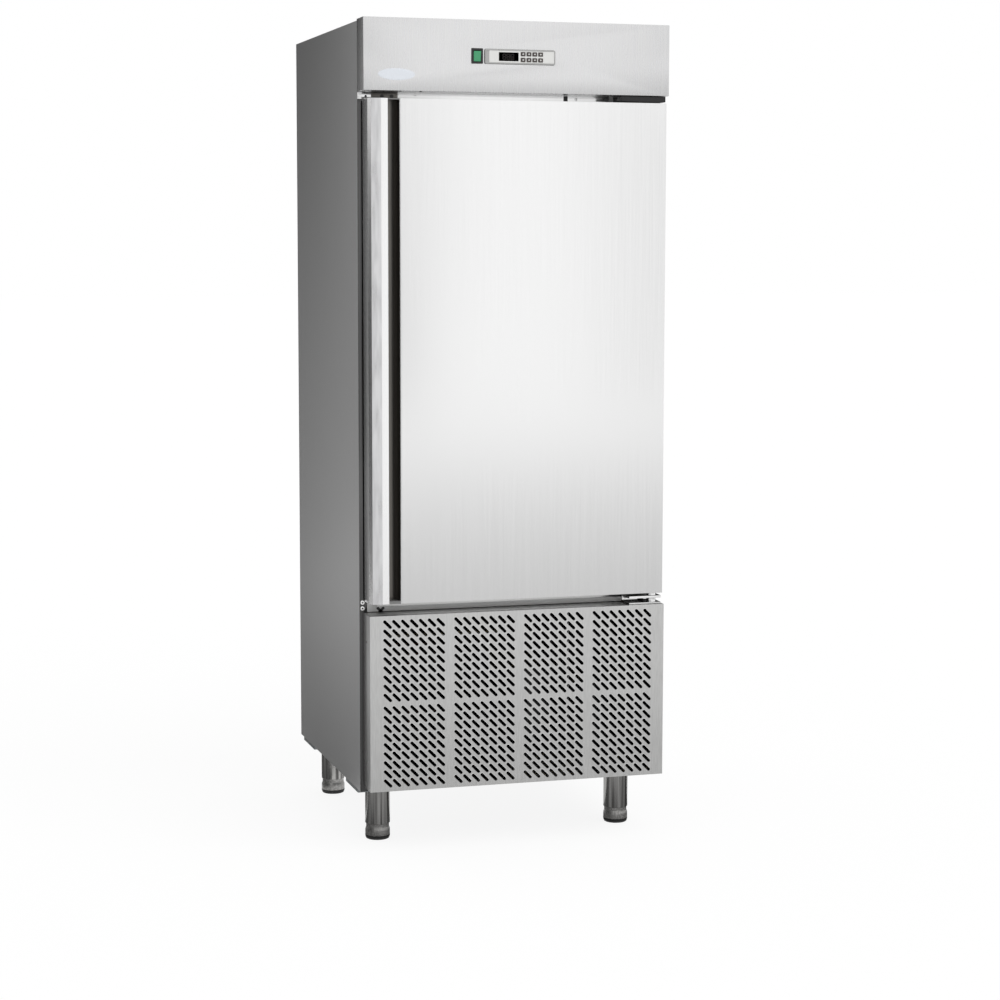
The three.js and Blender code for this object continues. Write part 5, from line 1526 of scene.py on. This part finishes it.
def gap_details():
    """Small things in the gap above the door: clips under the fascia's edge, a joint, a screw and a hole."""
    fascia_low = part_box("control_fascia")[0] / MM
    for number, x in enumerate((-306.0, -254.0)):
        box_piece(f"fascia_clip_{number + 1}", (x - 2.5, fascia_low.y + 1, fascia_low.z - 2.5),
                  (x + 2.5, fascia_low.y + 6, fascia_low.z - 0.2), 0.3, hinge_black)
    box_piece("trim_joint", (140, CARCASS_Y - 1.2, 1909), (151, CARCASS_Y, 1925), 0.2, hinge_black)
    screws("gap_screw", [(174.0, CARCASS_Y - 1.0, 1917.0)], "front", 4.0, 1.4, material=trim_stainless)
    dark_disc("gap_hole", 248.0, 1918.0, 3.0)


trims()
spare_hinge_holes()
gap_details()
print("trims and spare hinge holes made")

# %% [markdown]
# ## What is left of the model's own nodes
# The last nodes keep the engineering model's shape and only take a finish.

# %% Remaining nodes
KEPT = {"cable_gland": black_nylon}
for node, material in KEPT.items():
    mesh = frame["nodes"][node].data
    mesh.materials.clear()
    mesh.materials.append(material)

# %% [markdown]
# ## Studio
# The surroundings are white, and the world together with one broad sun-like lamp lights a white surface to just
# about white, so that every colour renders as it is written. The floor is white too. For the eye of the camera it
# glows a little, which keeps the shadow as soft and pale as in the photograph.
# Steel shows what stands around it, so there are also grey cards that only reflections see, as a photographer would
# place them: one behind each flank of the cabinet, and a graded one on the floor before it.

# %% Studio
FLOOR_HALF = 60.0
WORLD_LEVEL = 0.78
FLOOR_GLOW = 0.88


def plane(name, centre, right, up, material):
    bm = bmesh.new()
    centre, right, up = Vector(centre), Vector(right), Vector(up)
    bm.faces.new([bm.verts.new(centre + right * a + up * b) for a, b in ((-1, -1), (1, -1), (1, 1), (-1, 1))])
    mesh = bpy.data.meshes.new(name)
    bm.to_mesh(mesh)
    bm.free()
    mesh.materials.append(material)
    piece = object_of(name, mesh)
    return piece


def seen_directly(tree):
    """1 for rays from the camera, from a mirror-like surface or through glass; 0 for light that is scattered."""
    path = add_node(tree, "ShaderNodeLightPath")
    direct = sums(tree, "MAXIMUM", path.outputs["Is Camera Ray"], path.outputs["Is Glossy Ray"])
    return sums(tree, "MAXIMUM", direct, path.outputs["Is Transmission Ray"])


def floor_material():
    material, tree, shader = new_material("matt_white_floor", {
        "Base Color": linear("#FFFFFF"), "Roughness": 1.0, "Specular IOR Level": 0.0,
    })
    glow = add_node(tree, "ShaderNodeEmission", {"Strength": 1.0})
    share = sums(tree, "MULTIPLY", seen_directly(tree), FLOOR_GLOW)
    both = add_node(tree, "ShaderNodeMixShader", None, {0: share, 1: shader.outputs[0], 2: glow.outputs[0]})
    output = next(node for node in tree.nodes if node.type == "OUTPUT_MATERIAL")
    tree.links.new(both.outputs[0], output.inputs["Surface"])
    return material


def card_material(name, direction, near, far):
    """A card that glows from one level to another along a direction; near and far are (metres, level)."""
    material = bpy.data.materials.new(name)
    material.use_nodes = True
    tree = material.node_tree
    tree.nodes.clear()
    place = add_node(tree, "ShaderNodeTexCoord")
    along = add_node(
        tree, "ShaderNodeVectorMath", {"operation": "DOT_PRODUCT", 1: direction}, {0: place.outputs["Object"]},
    )
    level = add_node(tree, "ShaderNodeMapRange", {
        "From Min": near[0], "From Max": far[0], "To Min": near[1], "To Max": far[1],
    }, {"Value": along.outputs["Value"]})
    glow = add_node(tree, "ShaderNodeEmission", None, {"Strength": level.outputs["Result"]})
    add_node(tree, "ShaderNodeOutputMaterial", None, {"Surface": glow.outputs[0]})
    return material


def card(name, centre, right, up, material):
    piece = plane(name, centre, right, up, material)
    piece.visible_camera = False
    piece.visible_diffuse = False
    piece.visible_shadow = False
    piece.visible_transmission = False
    return piece


def surroundings():
    world = bpy.data.worlds.new("studio")
    bpy.context.scene.world = world
    world.use_nodes = True
    tree = world.node_tree
    tree.nodes.clear()
    level = add_node(
        tree, "ShaderNodeMapRange", {"To Min": WORLD_LEVEL, "To Max": 1.0}, {"Value": seen_directly(tree)},
    )
    light = add_node(tree, "ShaderNodeBackground", {"Color": (1, 1, 1, 1)}, {"Strength": level.outputs["Result"]})
    add_node(tree, "ShaderNodeOutputWorld", None, {"Surface": light.outputs[0]})


def sun(toward, strength, spread_degrees):
    data = bpy.data.lights.new("broad_lamp", "SUN")
    data.energy = strength
    data.angle = math.radians(spread_degrees)
    light = bpy.data.objects.new("broad_lamp", data)
    light.rotation_euler = Vector(toward).to_track_quat("-Z", "Y").to_euler()
    light.visible_glossy = False
    bpy.context.scene.collection.objects.link(light)
    return light


def studio():
    surroundings()
    plane("floor", (0, 0, 0), (FLOOR_HALF, 0, 0), (0, FLOOR_HALF, 0), floor_material())
    sun((-0.45, 0.75, -1.0), 1.0, 50)
    # Behind each flank: darker close to the cabinet and towards the top.
    for turn in (-1, 1):
        flank = card_material(f"flank_grey_{turn}", (turn, 0, -1), (-2.0, 0.035), (3.0, 0.40))
        card(f"flank_card_{turn}", (turn * 3.45, 3.6, 2.0), (3.05, 0, 0), (0, 0, 2.6), flank)
        low_flank = card_material(f"flank_floor_grey_{turn}", (turn, 0, 0), (0.4, 0.16), (2.4, 0.54))
        card(f"flank_floor_{turn}", (turn * 3.45, 1.8, 0.004), (3.04, 0, 0), (0, 1.8, 0), low_flank)
    # To the left it is dark up to head height and bright above.
    card("side_card", (-4.2, -1.0, 1.9), (0, 3.4, 0), (0, 0, 2.2), card_material(
        "dark_below_bright_above", (0, 0, 1), (1.9, 0.07), (2.14, 0.95),
    ))
    # In front it brightens from the dark left to the white middle, and falls off a little to the right.
    card("front_left_card", (-1.9, -7.5, 0.95), (3.1, 0, 0), (0, 0, 1.0), card_material(
        "front_left_grey", (1, 0, 0), (-2.1, 0.45), (0.3, 1.0),
    ))
    card("front_left_upper", (-1.9, -7.5, 3.45), (3.1, 0, 0), (0, 0, 1.5), card_material(
        "front_left_pale", (1, 0, 0), (-3.0, 0.6), (0.9, 1.0),
    ))
    card("front_right_card", (5.4, -7.5, 2.4), (3.0, 0, 0), (0, 0, 2.5), card_material(
        "front_right_grey", (1, 0, 0), (2.8, 1.0), (5.4, 0.84),
    ))
    card("front_floor", (1.6, -3.6, 0.004), (4.0, 0, 0), (0, 3.0, 0), card_material(
        "front_floor_grey", (0, -1, 0), (0.6, 0.5), (5.6, 1.0),
    ))
    # Close round the legs the floor is in shade, which only the legs are low enough to mirror.
    card("leg_floor", (0, -0.42, 0.005), (1.5, 0, 0), (0, 0.36, 0), card_material(
        "leg_floor_grey", (0, -1, 0), (0.06, 0.1), (0.78, 0.6),
    ))


studio()
bpy.context.scene.view_settings.view_transform = "Standard"
